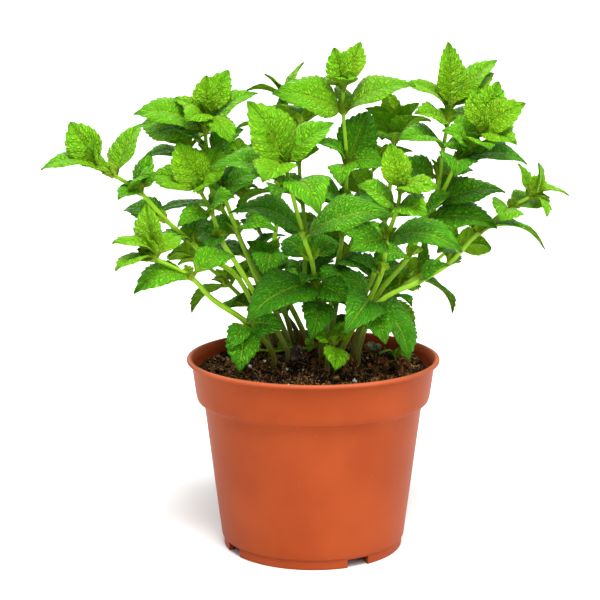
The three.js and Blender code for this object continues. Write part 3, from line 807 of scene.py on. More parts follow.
def tubeGrid(bm, line, sides):
    # a grid to wrap round a line, whose first and last rows close its ends: for each vertex its place on
    # the line, its angle round it, and 0 in those rows or 1 elsewhere
    rings = [0, *range(len(line)), len(line) - 1]
    last = len(rings) - 1
    grid = []
    for v in bmesh.ops.create_grid(bm, x_segments=last, y_segments=sides, size=1)["verts"]:
        ring = round((v.co.x + 1) / 2 * last)
        grid.append((v, rings[ring], -math.pi * v.co.y, int(0 < ring < last)))
    return grid


def offLine(point, frame, angle, radius):
    first, second = frame
    return point + (first * math.cos(angle) + second * math.sin(angle)) * radius


def framesAlong(tangents):
    # two directions square to each tangent, which turn as little as they can from one to the next
    frames = []
    across = np.array([1.0, 0.0, 0.0])
    for tangent in tangents:
        across = unit(across - tangent * np.dot(across, tangent))
        frames.append((across, np.cross(tangent, across)))
    return frames


def addStem(bm, layers, shoot):
    line = stemLine(shoot, stemLook["steps"])
    frames = framesAlong(tangentsOf(line))
    travelled = np.concatenate([[0], np.cumsum([np.linalg.norm(b - a) for a, b in zip(line, line[1:])])])
    joints = [np.array(node[0], float) for node in shoot["nodes"] if len(node) > 1]
    power = stemLook["squareness"]
    grid = tubeGrid(bm, line, stemLook["sides"])
    for v, i, angle, isOpen in grid:
        point = line[i]
        share = i / (len(line) - 1)
        nearest = min((np.linalg.norm(point - joint) for joint in joints), default=99)  # node, in mm
        swell = 1 + stemLook["nodeSwell"] * math.exp(-(nearest / stemLook["nodeReach"]) ** 2)
        corner = (abs(math.cos(angle)) ** power + abs(math.sin(angle)) ** power) ** (-1 / power)
        corner -= stemLook["groove"] * (0.5 + 0.5 * math.cos(4 * angle))
        v.co = offLine(point, frames[i], angle, stemHalfAt(shoot, share) * swell * corner * isOpen)
        v[layers["place"]] = (share, angle, 2)
        v[layers["flat"]] = (travelled[i], 0, nearest)
        v[layers["tone"]] = (share if "foot" in shoot else 0.5 + 0.5 * share, nearest, point[2] / 100)
    bmesh.ops.remove_doubles(bm, verts=[v for v, *_ in grid], dist=1e-4)
    for v, *_ in grid:
        if v.is_valid:
            for face in v.link_faces:
                face.material_index = 1


# young leaves at the tips and in the leaf axils

crown = {
    "pairs": ((58, 12), (72, 9)),  # degrees up and length of each pair at a stem's tip
    "unevenness": (0.8, 1.15),
    "tipYouth": 1.25,
    "axilYouth": 0.9,
    "axilShare": 0.75,
    "axilLength": (6, 12),
    "axilOutward": 0.5,
    "axilSpread": (0.25, 0.6),
    "plumpness": (0.5, 0.62),
    "arch": 0.05,
    "roll": (-20, 20),
    "turn": 0.5,
    "rootSink": 0.3,
    "stalkShare": 0.14,
}


def addYoungLeaf(bm, layers, node, reach, tangent, youth):
    length = np.linalg.norm(reach)
    root = node - reach / length * crown["rootSink"]
    width = length * leafDraw.uniform(*crown["plumpness"])
    roll = leafDraw.uniform(*crown["roll"])
    leaf = makeLeaf(root, reach, tangent, width, crown["arch"], roll, crown["turn"])
    leaf["stalkShare"] = crown["stalkShare"]
    addLeaf(bm, layers, leaf, youth, 0)


def addCrown(bm, layers, shoot):
    points = stemPoints(shoot)
    tangent = unit(points[-1] - points[-2])
    start = leafDraw.uniform(0, 90)
    for k, (lift, length) in enumerate(crown["pairs"]):
        for half in (0, 180):
            reach = raised(roundStem(tangent, start + 90 * k + half), tangent, lift)
            reach = reach * length * leafDraw.uniform(*crown["unevenness"])
            addYoungLeaf(bm, layers, points[-2], reach, tangent, crown["tipYouth"])


def addAxilLeaves(bm, layers, shoot):
    nodes = shoot["nodes"]
    for i in range(1, len(nodes) - 1):
        point = np.array(nodes[i][0], float)
        tangent = unit(point - np.array(nodes[i - 1][0], float))
        for reach in nodes[i][1:]:
            if leafDraw.random() > crown["axilShare"]:
                continue
            outward = unit(np.array(reach[:3], float))
            side = unit(np.cross(outward, tangent))
            for turn in (-1, 1):
                spread = side * turn * leafDraw.uniform(*crown["axilSpread"])
                aim = unit(outward * crown["axilOutward"] + tangent + spread)
                aim = aim * leafDraw.uniform(*crown["axilLength"])
                addYoungLeaf(bm, layers, point, aim, tangent, crown["axilYouth"])


# short hairs on the younger stems

hair = {
    "fromHeight": 125,
    "perRing": 7,
    "length": (0.35, 0.85),
    "radius": 0.045,
    "lean": (-0.3, 0.6),
    "scatter": (-0.4, 0.4),
    "sunkTo": 0.8,
}

hairDraw = random.Random(17)


def addHairs(bm, shoot):
    tufts = bmesh.new()
    line = stemLine(shoot, stemLook["steps"])
    step = np.linalg.norm(line[-1] - line[0]) / len(line)
    for i, (point, tangent) in enumerate(zip(line, tangentsOf(line))):
        if point[2] < hair["fromHeight"]:
            continue
        for _ in range(hair["perRing"]):
            outward = roundStem(tangent, hairDraw.uniform(0, 360))
            aim = unit(outward + tangent * hairDraw.uniform(*hair["lean"]))
            length = hairDraw.uniform(*hair["length"])
            start = point + tangent * step * hairDraw.uniform(*hair["scatter"])
            start = start + outward * stemHalfAt(shoot, i / (len(line) - 1)) * hair["sunkTo"]
            turn = Vector(aim).to_track_quat("Z", "Y").to_matrix().to_4x4()
            place = Matrix.Translation(Vector(start + aim * length / 2)) @ turn
            bmesh.ops.create_cone(tufts, cap_ends=True, segments=3, radius1=hair["radius"],
                                  radius2=0, depth=length, matrix=place)
    for face in tufts.faces:
        face.material_index = 2
    mesh = bpy.data.meshes.new("tufts")
    tufts.to_mesh(mesh)
    tufts.free()
    bm.from_mesh(mesh)
    bpy.data.meshes.remove(mesh)


# the materials of the plant

leafPaint = {
    "old": (0.065, 0.3, 0.001),
    "grown": (0.165, 0.5, 0.002),
    "young": (0.285, 0.485, 0.002),
    # painted shade for the wrinkle valleys and vein grooves, on older and on young leaves
    "shadedValley": (0.028, 0.15, 0.001),
    "youngShadedValley": (0.09, 0.29, 0.002),
    "rib": (0.32, 0.5, 0.05),
    "under": (0.2, 0.38, 0.012),
    "stalk": (0.34, 0.5, 0.03),
    # painted highlight on the crests between the wrinkles
    "crestHighlight": (0.2, 0.36, 0.03),
    "wrinkle": 0.7,  # wrinkles to the millimetre
}


def leafMaterial():
    paint = Paint("mintLeaf")
    along, across, under = paint.split(paint.attribute("place"))
    flat = paint.attribute("flat")
    lengthwise, sideways, veins = paint.split(flat)
    youth, tint, shade = paint.split(paint.attribute("tone"))
    reach = across.size()
    row = (along - reach * blade["veinSweep"]) * veins
    vein = 1 - row.pingpong(0.5).fade(0.02, 0.11)
    rib = 1 - reach.fade(0.02, 0.075)
    slanted = paint.joined(row * blade["veinSpacing"], sideways * 0.72, tint * 40)
    net = paint.cellsAt(slanted, leafPaint["wrinkle"], "DISTANCE_TO_EDGE").fade(0.0, 0.3)
    fine = paint.cellsAt(slanted, leafPaint["wrinkle"] * 2.1, "DISTANCE_TO_EDGE").fade(0.0, 0.34)
    grain = paint.noiseAt(flat, 2.0, 3.0)
    patches = paint.noiseAt(flat, 0.11, 2.0)

    stops = [(0.0, leafPaint["old"]), (0.4, leafPaint["grown"]), (1.0, leafPaint["young"])]
    age = youth * (1.0 - along * 0.62) + tint * 0.24 + (patches - 0.5) * 0.5 - shade * 0.18
    color = paint.ramp(age, stops)
    # painted shade: the colour is darkened in the wrinkle valleys and vein grooves, where the roughness also
    # rises
    shadedValley = (1 - net * 0.6 - fine * 0.4).most(vein * 0.7)
    crestHighlight = (net * 0.7 + fine * 0.3).fade(0.4, 1.0)
    valleyShadeColor = paint.mixed(youth * 0.9, leafPaint["shadedValley"], leafPaint["youngShadedValley"])
    color = paint.mixed(shadedValley * (0.85 - under * 0.7 - youth * 0.1), color, valleyShadeColor)
    # painted highlight: the crests between the wrinkles are lightened
    color = paint.mixed(crestHighlight * (0.38 - under * 0.3 - youth * 0.14), color, leafPaint["crestHighlight"], "SCREEN")
    color = paint.mixed(under * 0.6, color, leafPaint["under"])
    color = paint.mixed(vein * (0.1 - youth * 0.08 + under * 0.5), color, leafPaint["rib"])
    color = paint.mixed(rib * (0.7 - youth * 0.35), color, leafPaint["rib"])
    color = paint.mixed((1 - lengthwise.fade(3.5, 8.0)) * 0.7, color, leafPaint["stalk"])
    roughness = 0.22 + grain * 0.14 + under * 0.35 + shadedValley * 0.35
    height = row.pingpong(0.5).fade(0.0, 0.4) * 0.35 + net * 0.5 + fine * 0.18 + grain * 0.08
    height = height * (1 - under * 1.6) - rib * (0.5 - under * 1.4)
    bump = paint.bumped(height, 0.0015)
    return paint.finish({
        "Base Color": color, "Roughness": roughness, "Normal": bump, "Subsurface Weight": 0.2,
        "Subsurface Radius": (0.6, 1.0, 0.15), "Subsurface Scale": 0.0008, "Specular IOR Level": 0.28,
    })


stemPaint = {
    "foot": (0.1, 0.075, 0.016),
    "low": (0.18, 0.28, 0.014),
    "high": (0.25, 0.45, 0.015),
    "node": (0.13, 0.2, 0.015),
    "ridge": (0.4, 0.6, 0.1),
    "streak": (0.16, 0.26, 0.04),
}


def stemMaterial():
    paint = Paint("mintStem")
    angle = paint.split(paint.attribute("place"))[1]
    nearest, height = paint.split(paint.attribute("tone"))[1:]
    streaks = paint.noiseAt(paint.objectPlace(), 900.0, 2.0)
    patches = paint.noiseAt(paint.objectPlace(), 70.0, 3.0)
    climb = height + (patches - 0.5) * 0.14
    stops = [(0.0, stemPaint["foot"]), (0.16, stemPaint["low"]), (0.5, stemPaint["high"]),
             (1.0, stemPaint["high"])]
    color = paint.ramp((climb - 0.95).fade(0.0, 0.75), stops)
    ridge = (angle * 4).cosine() * -0.5 + 0.5
    color = paint.mixed(ridge * 0.12, color, stemPaint["ridge"])
    color = paint.mixed((1 - nearest.fade(0.5, 2.6)) * 0.4, color, stemPaint["node"])
    color = paint.mixed(streaks.fade(0.45, 0.75) * 0.18, color, stemPaint["streak"])
    bump = paint.bumped(streaks * 0.6 + ridge * 0.4, 0.0001)
    return paint.finish({
        "Base Color": color, "Roughness": 0.42 + patches * 0.2, "Normal": bump,
        "Subsurface Weight": 0.2, "Subsurface Radius": (0.8, 1.0, 0.3), "Subsurface Scale": 0.0015,
        "Specular IOR Level": 0.3,
    })


def hairMaterial():
    paint = Paint("mintHair")
    cloud = paint.noiseAt(paint.objectPlace(), 60.0)
    color = paint.mixed(cloud, (0.55, 0.68, 0.35), (0.72, 0.78, 0.55))
    return paint.finish({"Base Color": color, "Roughness": cloud * 0.2 + 0.35})


plantMaterials = [leafMaterial(), stemMaterial(), hairMaterial()]

growthStages = {
    "youngFrom": 0.45,  # share of the way up its stem from which a leaf is young
    "oldest": 0.12,
    "span": 0.9,
    "shadeHeights": (118, 175),
}


def plantMesh():
    # a new bmesh with what the plant's materials read, for a leaf: place (shares along and across, and
    # 1 on the under face), flat (millimetres along and across, veins) and tone (youth, tint, shade);
    # home is where a leaf's under face goes
    bm = bmesh.new()
    return bm, {key: bm.verts.layers.float_vector.new(key) for key in ("place", "flat", "tone", "home")}


def newPlantPiece(name, bm, layers, nodes=()):
    bm.verts.layers.float_vector.remove(layers["home"])
    newPiece(name, bm, plantMaterials, nodes)


def leafyStem(name, parts):
    bm, layers = plantMesh()
    for shoot in parts:
        addStem(bm, layers, shoot)
        for leaf in shoot["leaves"]:
            young = smoothShare(leaf["level"], growthStages["youngFrom"], 1.0)
            shade = 1 - smoothShare(leaf["root"][2], *growthStages["shadeHeights"])
            addLeaf(bm, layers, leaf, young * growthStages["span"] + growthStages["oldest"], shade)
        addCrown(bm, layers, shoot)
        addAxilLeaves(bm, layers, shoot)
        addHairs(bm, shoot)
    newPlantPiece(name.replace("stem", "leafy_stem", 1), bm, layers, [name])


for name in dict.fromkeys(shoot["body"] for shoot in allShoots):
    leafyStem(name, [shoot for shoot in allShoots if shoot["body"] == name])
print("leafy stems made")


# the pot

pot = {
    "height": 99, "lipRadius": 65, "lipHeight": 2.4, "collarTop": 62.4, "collarBottom": 60.2,
    "collarHeight": 20, "bodyTop": 56.2, "bodyBottom": 47.5, "footRadius": 46.3, "footHeight": 5,
    "footWall": 2.8, "baseThick": 1.8, "wall": 1.5, "innerStep": 2, "steps": 128,
    "notchWidth": 12, "notchHeight": 4.4, "notchDepth": 12, "firstNotch": -61, "notches": 4,
    "drainRadius": 4, "drainReach": 34, "drainDepth": 12, "sharpAngle": 35,
}


def potSection():
    # radius, height and rounding of each corner, from the middle of the base round the wall and back
    p = pot
    collarFoot = p["height"] - p["collarHeight"]
    lipFoot = p["height"] - p["lipHeight"]
    insideBottom = p["bodyBottom"] - p["wall"]
    return [
        (0, p["footHeight"] - p["baseThick"], 0),
        (p["footRadius"] - p["footWall"], p["footHeight"] - p["baseThick"], 0),
        (p["footRadius"] - p["footWall"], 0, 0),
        (p["footRadius"], 0, 0.35),
        (p["footRadius"] + 0.2, p["footHeight"], 0),
        (p["bodyBottom"], p["footHeight"] + 0.4, 0.6),
        (p["bodyTop"], collarFoot - 3, 1.2),
        (p["collarBottom"] - 0.7, collarFoot - 1.6, 0.4),
        (p["collarBottom"], collarFoot + 1, 0.8),
        (p["collarTop"], lipFoot - 0.4, 0.35),
        (p["lipRadius"], lipFoot + 0.4, 0.8),
        (p["lipRadius"] - 0.2, p["height"], 0.9),
        (p["collarTop"] - p["wall"] + 1.8, p["height"], 0.5),
        (p["collarTop"] - p["wall"], p["height"] - 3, 1.2),
        (p["collarBottom"] - p["wall"], collarFoot + p["innerStep"], 0),
        (p["bodyTop"] - p["wall"], collarFoot - 3, 0),
        (insideBottom, p["footHeight"] + 2, 0),
        (insideBottom - 2, p["footHeight"], 0),
        (0, p["footHeight"], 0),
    ]


def spun(bm, section, steps):
    start = [bm.verts.new((radius, 0, height)) for radius, height in section]
    edges = [bm.edges.new(pair) for pair in zip(start, start[1:])]
    bmesh.ops.spin(bm, geom=start + edges, axis=(0, 0, 1), cent=(0, 0, 0), dvec=(0, 0, 0),
                   angle=2 * math.pi, steps=steps, use_merge=True, use_duplicate=False)
    bmesh.ops.remove_doubles(bm, verts=bm.verts, dist=1e-4)
    bmesh.ops.recalc_face_normals(bm, faces=bm.faces)


def ringEdges(bm, radius, height):
    found = []
    for edge in bm.edges:
        if all(abs(math.hypot(v.co.x, v.co.y) - radius) < 0.05 and abs(v.co.z - height) < 0.05
               for v in edge.verts):
            found.append(edge)
    return found


def boxCutter(bm, size, place, angle):
    made = bmesh.ops.create_cube(bm, size=1)["verts"]
    bmesh.ops.scale(bm, vec=size, verts=made)
    bmesh.ops.translate(bm, vec=place, verts=made)
    bmesh.ops.rotate(bm, cent=(0, 0, 0), matrix=Matrix.Rotation(angle, 3, "Z"), verts=made)


def cutPiece(piece, bm):
    # takes the shapes in bm, which is in millimetres, out of a piece
    bmesh.ops.scale(bm, vec=(mm, mm, mm), verts=bm.verts)
    mesh = bpy.data.meshes.new("cutter")
    bm.to_mesh(mesh)
    bm.free()
    cutter = bpy.data.objects.new("cutter", mesh)
    bpy.context.scene.collection.objects.link(cutter)
    modifier = piece.modifiers.new("cut", "BOOLEAN")
    modifier.operation = "DIFFERENCE"
    modifier.solver = "EXACT"
    modifier.object = cutter
    seen = piece.evaluated_get(bpy.context.evaluated_depsgraph_get())
    result = bpy.data.meshes.new_from_object(seen)
    piece.modifiers.clear()
    piece.data = result
    bpy.data.objects.remove(cutter)


potPaint = {
    "dark": (0.293, 0.057, 0.015),
    "light": (0.343, 0.072, 0.02),
    "scuff": (0.5, 0.16, 0.08),
    "foot": (0.2, 0.045, 0.02),
    # painted highlight along the top of the lip
    "lipHighlight": (0.46, 0.15, 0.08),
    "footFade": (0.0, 0.012),  # heights in metres
    "lipHighlightFade": (0.097, 0.0988),
}


def potMaterial():
    paint = Paint("pottedPlastic")
    place = paint.objectPlace()
    height = paint.split(place)[2]
    cloud = paint.noiseAt(place, 28.0, 3.0)
    speck = paint.noiseAt(place, 1400.0, 2.0)
    scuff = paint.noiseAt(place, 160.0, 4.0, 0.6)
    color = paint.mixed(cloud.fade(0.3, 0.7), potPaint["dark"], potPaint["light"])
    color = paint.mixed(scuff.fade(0.62, 0.8) * 0.18, color, potPaint["scuff"])
    color = paint.mixed((1 - height.fade(*potPaint["footFade"])) * 0.2, color, potPaint["foot"])
    # painted highlight: the top edge of the lip is lightened
    color = paint.mixed(height.fade(*potPaint["lipHighlightFade"]) * 0.35, color, potPaint["lipHighlight"])
    roughness = 0.4 + cloud * 0.12 + scuff.fade(0.6, 0.8) * 0.12
    bump = paint.bumped(speck * 0.5 + cloud * 0.5, 0.00006)
    return paint.finish({
        "Base Color": color, "Roughness": roughness, "Normal": bump, "Subsurface Weight": 0.06,
        "Subsurface Radius": (1.0, 0.3, 0.15), "Subsurface Scale": 0.002, "Specular IOR Level": 0.1,
    })


def makePot():
    bm = bmesh.new()
    section = potSection()
    spun(bm, [(radius, height) for radius, height, rounding in section], pot["steps"])
    for radius, height, rounding in section:
        if rounding:
            bmesh.ops.bevel(bm, geom=ringEdges(bm, radius, height), offset=rounding, offset_type="OFFSET",
                            affect="EDGES", segments=3, profile=0.5, material=-1)
    piece = newPiece("nursery_pot", bm, [potMaterial()], ["pot"])
    cutters = bmesh.new()
    notch = (pot["notchDepth"], pot["notchWidth"], 2 * pot["notchHeight"])
    for i in range(pot["notches"]):
        angle = (pot["firstNotch"] + 360 / pot["notches"] * i) * degree
        boxCutter(cutters, notch, (pot["footRadius"], 0, 0), angle)
        place = (pot["drainReach"] * math.cos(angle), pot["drainReach"] * math.sin(angle), pot["footHeight"])
        bmesh.ops.create_cone(cutters, cap_ends=True, segments=32, radius1=pot["drainRadius"],
                              radius2=pot["drainRadius"], depth=pot["drainDepth"],
                              matrix=Matrix.Translation(place))
    cutPiece(piece, cutters)
    piece.data.shade_smooth()
    piece.data.set_sharp_from_angle(angle=pot["sharpAngle"] * degree)


makePot()
print("pot made")


# the soil

soil = {
    "clearance": 0.45, "rings": 44, "steps": 150, "cornerCut": 2.4, "edgeGap": 0.4,
    "coarseScale": 0.16, "coarseHeight": 1.5,
    "fineScale": 0.55, "fineHeight": 0.75,
    "dark": (0.004, 0.0022, 0.001), "middle": (0.03, 0.015, 0.006), "light": (0.15, 0.085, 0.033),
    "fleck": (0.55, 0.36, 0.17),
}

soilDraw = random.Random(5)


def fineSoilHeight(x, y):
    place = Vector((x, y, 0))
    coarse = noise.fractal(place * soil["coarseScale"], 1.0, 2.0, 3)
    fine = noise.fractal(place * soil["fineScale"], 0.9, 2.1, 3)
    return soilHeight(x, y) + soil["coarseHeight"] * coarse + soil["fineHeight"] * fine


def soilEdge():
    # the radius of the soil at its edge, just inside the collar's wall
    collarFoot = pot["height"] - pot["collarHeight"]
    climb = growth["soilEdgeHeight"] - collarFoot - pot["innerStep"]
    share = climb / (pot["height"] - pot["lipHeight"] - collarFoot)
    inside = between(pot["collarBottom"], pot["collarTop"], share) - pot["wall"]
    return inside - soil["clearance"] - soil["edgeGap"]


def soilMaterial(name, colors):
    paint = Paint(name)
    place = paint.objectPlace()
    coarse = paint.noiseAt(place, 130.0, 4.0, 0.6)
    fine = paint.noiseAt(place, 900.0, 4.0, 0.65)
    fleck = paint.cellsAt(place, 420.0)
    color = paint.mixed(coarse.fade(0.4, 0.62), colors["dark"], colors["middle"])
    color = paint.mixed(fine.fade(0.52, 0.66) * 0.75, color, colors["light"])
    color = paint.mixed((1 - fleck.fade(0.1, 0.24)) * 0.55, color, soil["fleck"])
    bump = paint.bumped(fine * 0.7 + coarse * 0.3, 0.0012)
    roughness = 0.72 + fine * 0.25
    values = {"Base Color": color, "Roughness": roughness, "Normal": bump, "Specular IOR Level": 0.15}
    return paint.finish(values)


def makeSoil():
    wall, gap, foot = pot["wall"], soil["clearance"], pot["footHeight"]
    collarFoot = pot["height"] - pot["collarHeight"]
    edge = soilEdge()
    section = [
        (0, foot + gap),
        (pot["bodyBottom"] - wall - soil["cornerCut"], foot + gap),
        (pot["bodyBottom"] - wall - gap, foot + 2.6),
        (pot["bodyTop"] - wall - gap - 0.25, collarFoot - 2.6),
        (pot["collarBottom"] - wall - gap - soil["edgeGap"], collarFoot + 2.4),
    ]
    edgeHeight = growth["soilEdgeHeight"]
    section += [(edge * (1 - i / soil["rings"]), edgeHeight) for i in range(soil["rings"] + 1)]
    bm = bmesh.new()
    spun(bm, section, soil["steps"])
    for v in bm.verts:
        if v.co.z > edgeHeight - 0.01 and math.hypot(v.co.x, v.co.y) < edge + 0.01:
            v.co.z = fineSoilHeight(v.co.x, v.co.y)
    newPiece("potting_soil", bm, [soilMaterial("peat", soil)], ["soil"])


# bits on the soil: those strewn by chance and those set where the photograph shows them, in millimetres

peatCrumbs = {
    "strewn": {"count": 1200, "size": (0.5, 3.1), "smallness": 2.6, "reach": 0.985, "drawnIn": 1 / 60,
               "lift": 0.3, "flatness": (0.6, 1.0), "detail": 1, "roughness": 0.9},
    "dark": (0.004, 0.002, 0.001), "middle": (0.075, 0.036, 0.012), "light": (0.4, 0.23, 0.09),
}

barkChips = {
    "strewn": {"count": 40, "size": (1.6, 3.4), "smallness": 1, "reach": 0.93, "drawnIn": 0,
               "lift": 0.35, "flatness": (0.35, 0.6), "detail": 2, "roughness": 0.7},
    "set": {"spots": (((18, -2), 3.9), ((24, 3), 2.7), ((46, 12), 2.4)),
            "lift": 0.3, "flatness": 0.5, "detail": 3, "roughness": 0.8},
    "dark": (0.06, 0.022, 0.008), "middle": (0.22, 0.08, 0.025), "light": (0.4, 0.19, 0.08),
}

perlite = {
    "strewn": {"count": 30, "size": (0.45, 1.25), "smallness": 1, "reach": 0.95, "drawnIn": 0,
               "lift": 0.6, "flatness": (0.6, 1.0), "detail": 2, "roughness": 0.6},
    "set": {"spots": (((-32, -9), 1.4), ((-25, -1), 1.5), ((-4, -12), 0.9)),
            "lift": 0.8, "flatness": 0.9, "detail": 3, "roughness": 0.8},
    "dark": (0.5, 0.46, 0.4), "middle": (0.68, 0.64, 0.57), "light": (0.8, 0.77, 0.7),
}

peatLumps = {
    "set": {"spots": (((-10, 1), 4.4), ((-5, -4), 2.6), ((38, 24), 3.0)),
            "lift": 0.35, "flatness": 0.8, "detail": 4, "roughness": 1.1},
    "dark": (0.02, 0.014, 0.011), "middle": (0.1, 0.075, 0.06), "light": (0.24, 0.19, 0.15),
}

pebbles = {
    "set": {"spots": (((30, 33), 3.9), ((34, 36), 2.6)),
            "lift": 0.5, "flatness": 0.75, "detail": 4, "roughness": 0.5},
    "dark": (0.09, 0.11, 0.06), "middle": (0.2, 0.22, 0.12), "light": (0.34, 0.34, 0.22),
}


def onSoil(reach):
    radius = soilEdge() * reach * math.sqrt(soilDraw.random())
    angle = soilDraw.uniform(0, 2 * math.pi)
    x, y = radius * math.cos(angle), radius * math.sin(angle)
    return Vector((x, y, fineSoilHeight(x, y)))


def addLump(bm, place, size, flatness, kind):
    # a ball, swollen unevenly, pressed flat, turned and set with its middle a share of its size up
    middle = place + Vector((0, 0, size * kind["lift"]))
    made = bmesh.ops.create_icosphere(bm, subdivisions=kind["detail"], radius=size)["verts"]
    turn = Matrix.Rotation(soilDraw.uniform(0, 6.28), 3, Vector([soilDraw.uniform(-1, 1) for _ in range(3)]))
    stretch = Vector((soilDraw.uniform(0.75, 1.35), soilDraw.uniform(0.7, 1.1), flatness))
    offset = Vector([soilDraw.uniform(0, 90) for _ in range(3)])
    for v in made:
        swell = 1 + kind["roughness"] * noise.noise(v.co * (1.6 / size) + offset)
        v.co = turn @ Vector([a * b for a, b in zip(v.co * swell, stretch)]) + middle


def makeBits(pieceName, materialName, bits):
    bm = bmesh.new()
    if "strewn" in bits:
        kind = bits["strewn"]
        for _ in range(kind["count"]):
            size = between(*kind["size"], soilDraw.random() ** kind["smallness"])
            place = onSoil(kind["reach"] - size * kind["drawnIn"])
            addLump(bm, place, size, soilDraw.uniform(*kind["flatness"]), kind)
    if "set" in bits:
        kind = bits["set"]
        for spot, size in kind["spots"]:
            addLump(bm, Vector((*spot, fineSoilHeight(*spot))), size, kind["flatness"], kind)
    newPiece(pieceName, bm, [soilMaterial(materialName, bits)])


rootFibres = {
    "count": 360, "reach": 0.9, "length": (3, 11), "bend": (-0.25, 0.25), "radius": (0.1, 0.27),
    "points": 7, "sides": 5, "edgeRoom": 0.8, "lift": 0.35, "arch": 0.8,
    "dark": (0.16, 0.085, 0.03), "middle": (0.36, 0.21, 0.08), "light": (0.6, 0.42, 0.2),
}


def addTube(bm, line, radii, sides):
    tangents = tangentsOf(line)
    grid = tubeGrid(bm, line, sides)
    for v, i, angle, isOpen in grid:
        first = roundStem(tangents[i], 0)
        v.co = offLine(line[i], (first, np.cross(tangents[i], first)), angle, radii[i] * isOpen)
    bmesh.ops.remove_doubles(bm, verts=[v for v, *_ in grid], dist=1e-4)


def makeFibres():
    bm = bmesh.new()
    last = rootFibres["points"] - 1
    for _ in range(rootFibres["count"]):
        place = onSoil(rootFibres["reach"])
        heading = soilDraw.uniform(0, 6.28)
        length = soilDraw.uniform(*rootFibres["length"])
        bend = soilDraw.uniform(*rootFibres["bend"])
        radius = soilDraw.uniform(*rootFibres["radius"])
        line = []
        for k in range(last + 1):
            t = k / last - 0.5
            lean = bend * length * (4 * t * t - 1)
            x = place.x + t * length * math.cos(heading) - lean * math.sin(heading)
            y = place.y + t * length * math.sin(heading) + lean * math.cos(heading)
            pull = min(1, (soilEdge() - rootFibres["edgeRoom"]) / math.hypot(x, y))
            lift = rootFibres["lift"] + rootFibres["arch"] * math.cos(3 * t + heading) ** 2
            line.append(np.array([x * pull, y * pull, fineSoilHeight(x * pull, y * pull) + lift]))
        radii = [radius * (1.2 - k / (last + 2)) for k in range(last + 1)]
        addTube(bm, line, radii, rootFibres["sides"])
    newPiece("root_fibres", bm, [soilMaterial("rootFibres", rootFibres)])


runners = {
    "paths": (((-24, 8), (-17, 10), (-10, 9), (-3, 13)), ((35, 21), (38, 20), (41, 21), (43, 19)),
              ((-30, 20), (-25, 14), (-18, 13))),
    "steps": 5, "sides": 8, "lift": 3.2, "sway": 1.2, "radius": (0.75, 0.5),
    "leaves": ((25, 40, 9), (20, -45, 8), (50, 5, 7)),  # degrees up, heading from the runner's, length
    "youth": 0.55,
}


def makeRunners():
    # thin shoots that creep over the soil, each with a few small leaves
    bm, layers = plantMesh()
    for path in runners["paths"]:
        heights = [soilHeight(x, y) + runners["lift"] + runners["sway"] * math.sin(x) for x, y in path]
        line = smoothLine([(*spot, height) for spot, height in zip(path, heights)], runners["steps"])
        radii = [between(*runners["radius"], k / len(line)) for k in range(len(line))]
        first = len(bm.verts)
        addTube(bm, line, radii, runners["sides"])
        bm.verts.ensure_lookup_table()
        # painted as a stem is halfway up, away from its nodes
        for v in bm.verts[first:]:
            v[layers["place"]] = (0.5, 0, 2)
            v[layers["tone"]] = (0.5, 5, 1.16)
        for face in bm.faces:
            if all(v[layers["place"]].z == 2 for v in face.verts):
                face.material_index = 1
        tangent = unit(line[-1] - line[-2])
        for lift, heading, length in runners["leaves"]:
            level = turned(unit(tangent * (1, 1, 0)), upward, heading * degree)
            reach = raised(level, upward, lift) * length
            addYoungLeaf(bm, layers, line[-1], reach, tangent, runners["youth"])
    newPlantPiece("soil_runners", bm, layers)


makeSoil()
makeBits("peat_crumbs", "peatCrumbs", peatCrumbs)
makeBits("bark_chips", "barkChips", barkChips)
makeBits("perlite_bits", "perlite", perlite)
makeBits("peat_lumps", "peatLump", peatLumps)
makeBits("soil_pebbles", "pebbleStone", pebbles)
makeFibres()
makeRunners()
print("soil made")


# floor, light and camera

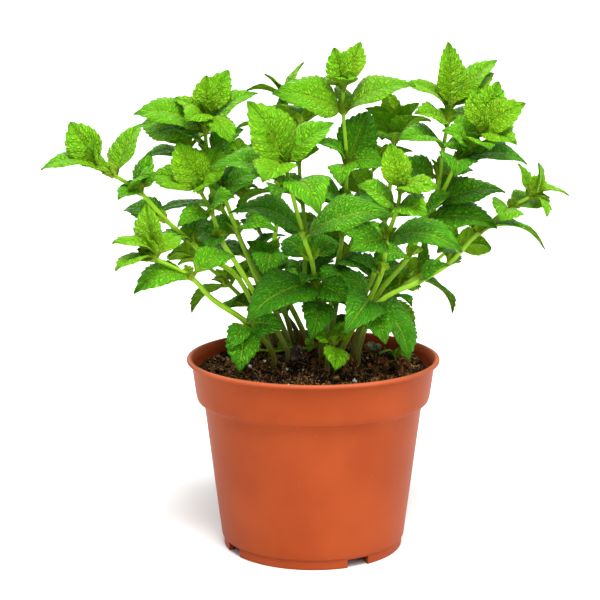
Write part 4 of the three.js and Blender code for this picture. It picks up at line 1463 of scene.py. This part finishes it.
studio = {
    "floorSize": 2000,
    "floorColors": ((0.73, 0.73, 0.73), (0.74, 0.74, 0.74)),
    "floorPatches": 3.0,
    "skyColor": (1, 1, 1),
    "skyStrength": 0.45,
    "lights": [  # name, direction it comes from, angle across in degrees, strength
        ("overhead", (0.05, -0.42, 1.0), 30, 3.5),
        ("frontFill", (0.5, -1.0, 0.85), 75, 1.9),
        ("backLight", (-0.2, 1.0, 0.8), 60, 1.2),
    ],
}


def makeFloor():
    paint = Paint("paleFloor")
    patches = paint.noiseAt(paint.objectPlace(), studio["floorPatches"])
    color = paint.mixed(patches, *studio["floorColors"])
    material = paint.finish({"Base Color": color, "Roughness": 0.9})
    bm = bmesh.new()
    bmesh.ops.create_grid(bm, x_segments=1, y_segments=1, size=studio["floorSize"] / 2)
    mesh = bpy.data.meshes.new("floor")
    bm.to_mesh(mesh)
    bm.free()
    mesh.materials.append(material)
    floor = bpy.data.objects.new("floor", mesh)
    bpy.context.scene.collection.objects.link(floor)


def makeLights():
    for name, source, spread, strength in studio["lights"]:
        lamp = bpy.data.lights.new(name, "SUN")
        lamp.angle = spread * degree
        lamp.energy = strength
        light = bpy.data.objects.new(name, lamp)
        light.rotation_euler = Vector(source).to_track_quat("Z", "Y").to_euler()
        bpy.context.scene.collection.objects.link(light)
    world = bpy.data.worlds.new("studioSky")
    world.use_nodes = True
    sky = world.node_tree.nodes["Background"]
    sky.inputs["Color"].default_value = (*studio["skyColor"], 1)
    sky.inputs["Strength"].default_value = studio["skyStrength"]
    bpy.context.scene.world = world


camera = {
    "place": (-0.00672, -0.788, 0.27875),
    "pitch": 0.189,  # radians below level
    "focalPixels": 1571.3,
    "framePixels": 600,
    "sensorWidth": 36,
    "nearest": 0.01,
    "furthest": 3000,
}


def makeCamera():
    lens = bpy.data.cameras.new("camera")
    lens.sensor_width = camera["sensorWidth"]
    lens.lens = camera["focalPixels"] / camera["framePixels"] * camera["sensorWidth"]
    lens.clip_start = camera["nearest"]
    lens.clip_end = camera["furthest"]
    seen = bpy.data.objects.new("camera", lens)
    seen.location = camera["place"]
    seen.rotation_euler = (math.pi / 2 - camera["pitch"], 0, 0)
    bpy.context.scene.collection.objects.link(seen)
    bpy.context.scene.camera = seen


makeFloor()
makeLights()
makeCamera()
bpy.context.scene.view_settings.view_transform = "Standard"
bpy.context.scene.view_settings.look = "Medium High Contrast"
print("studio set")
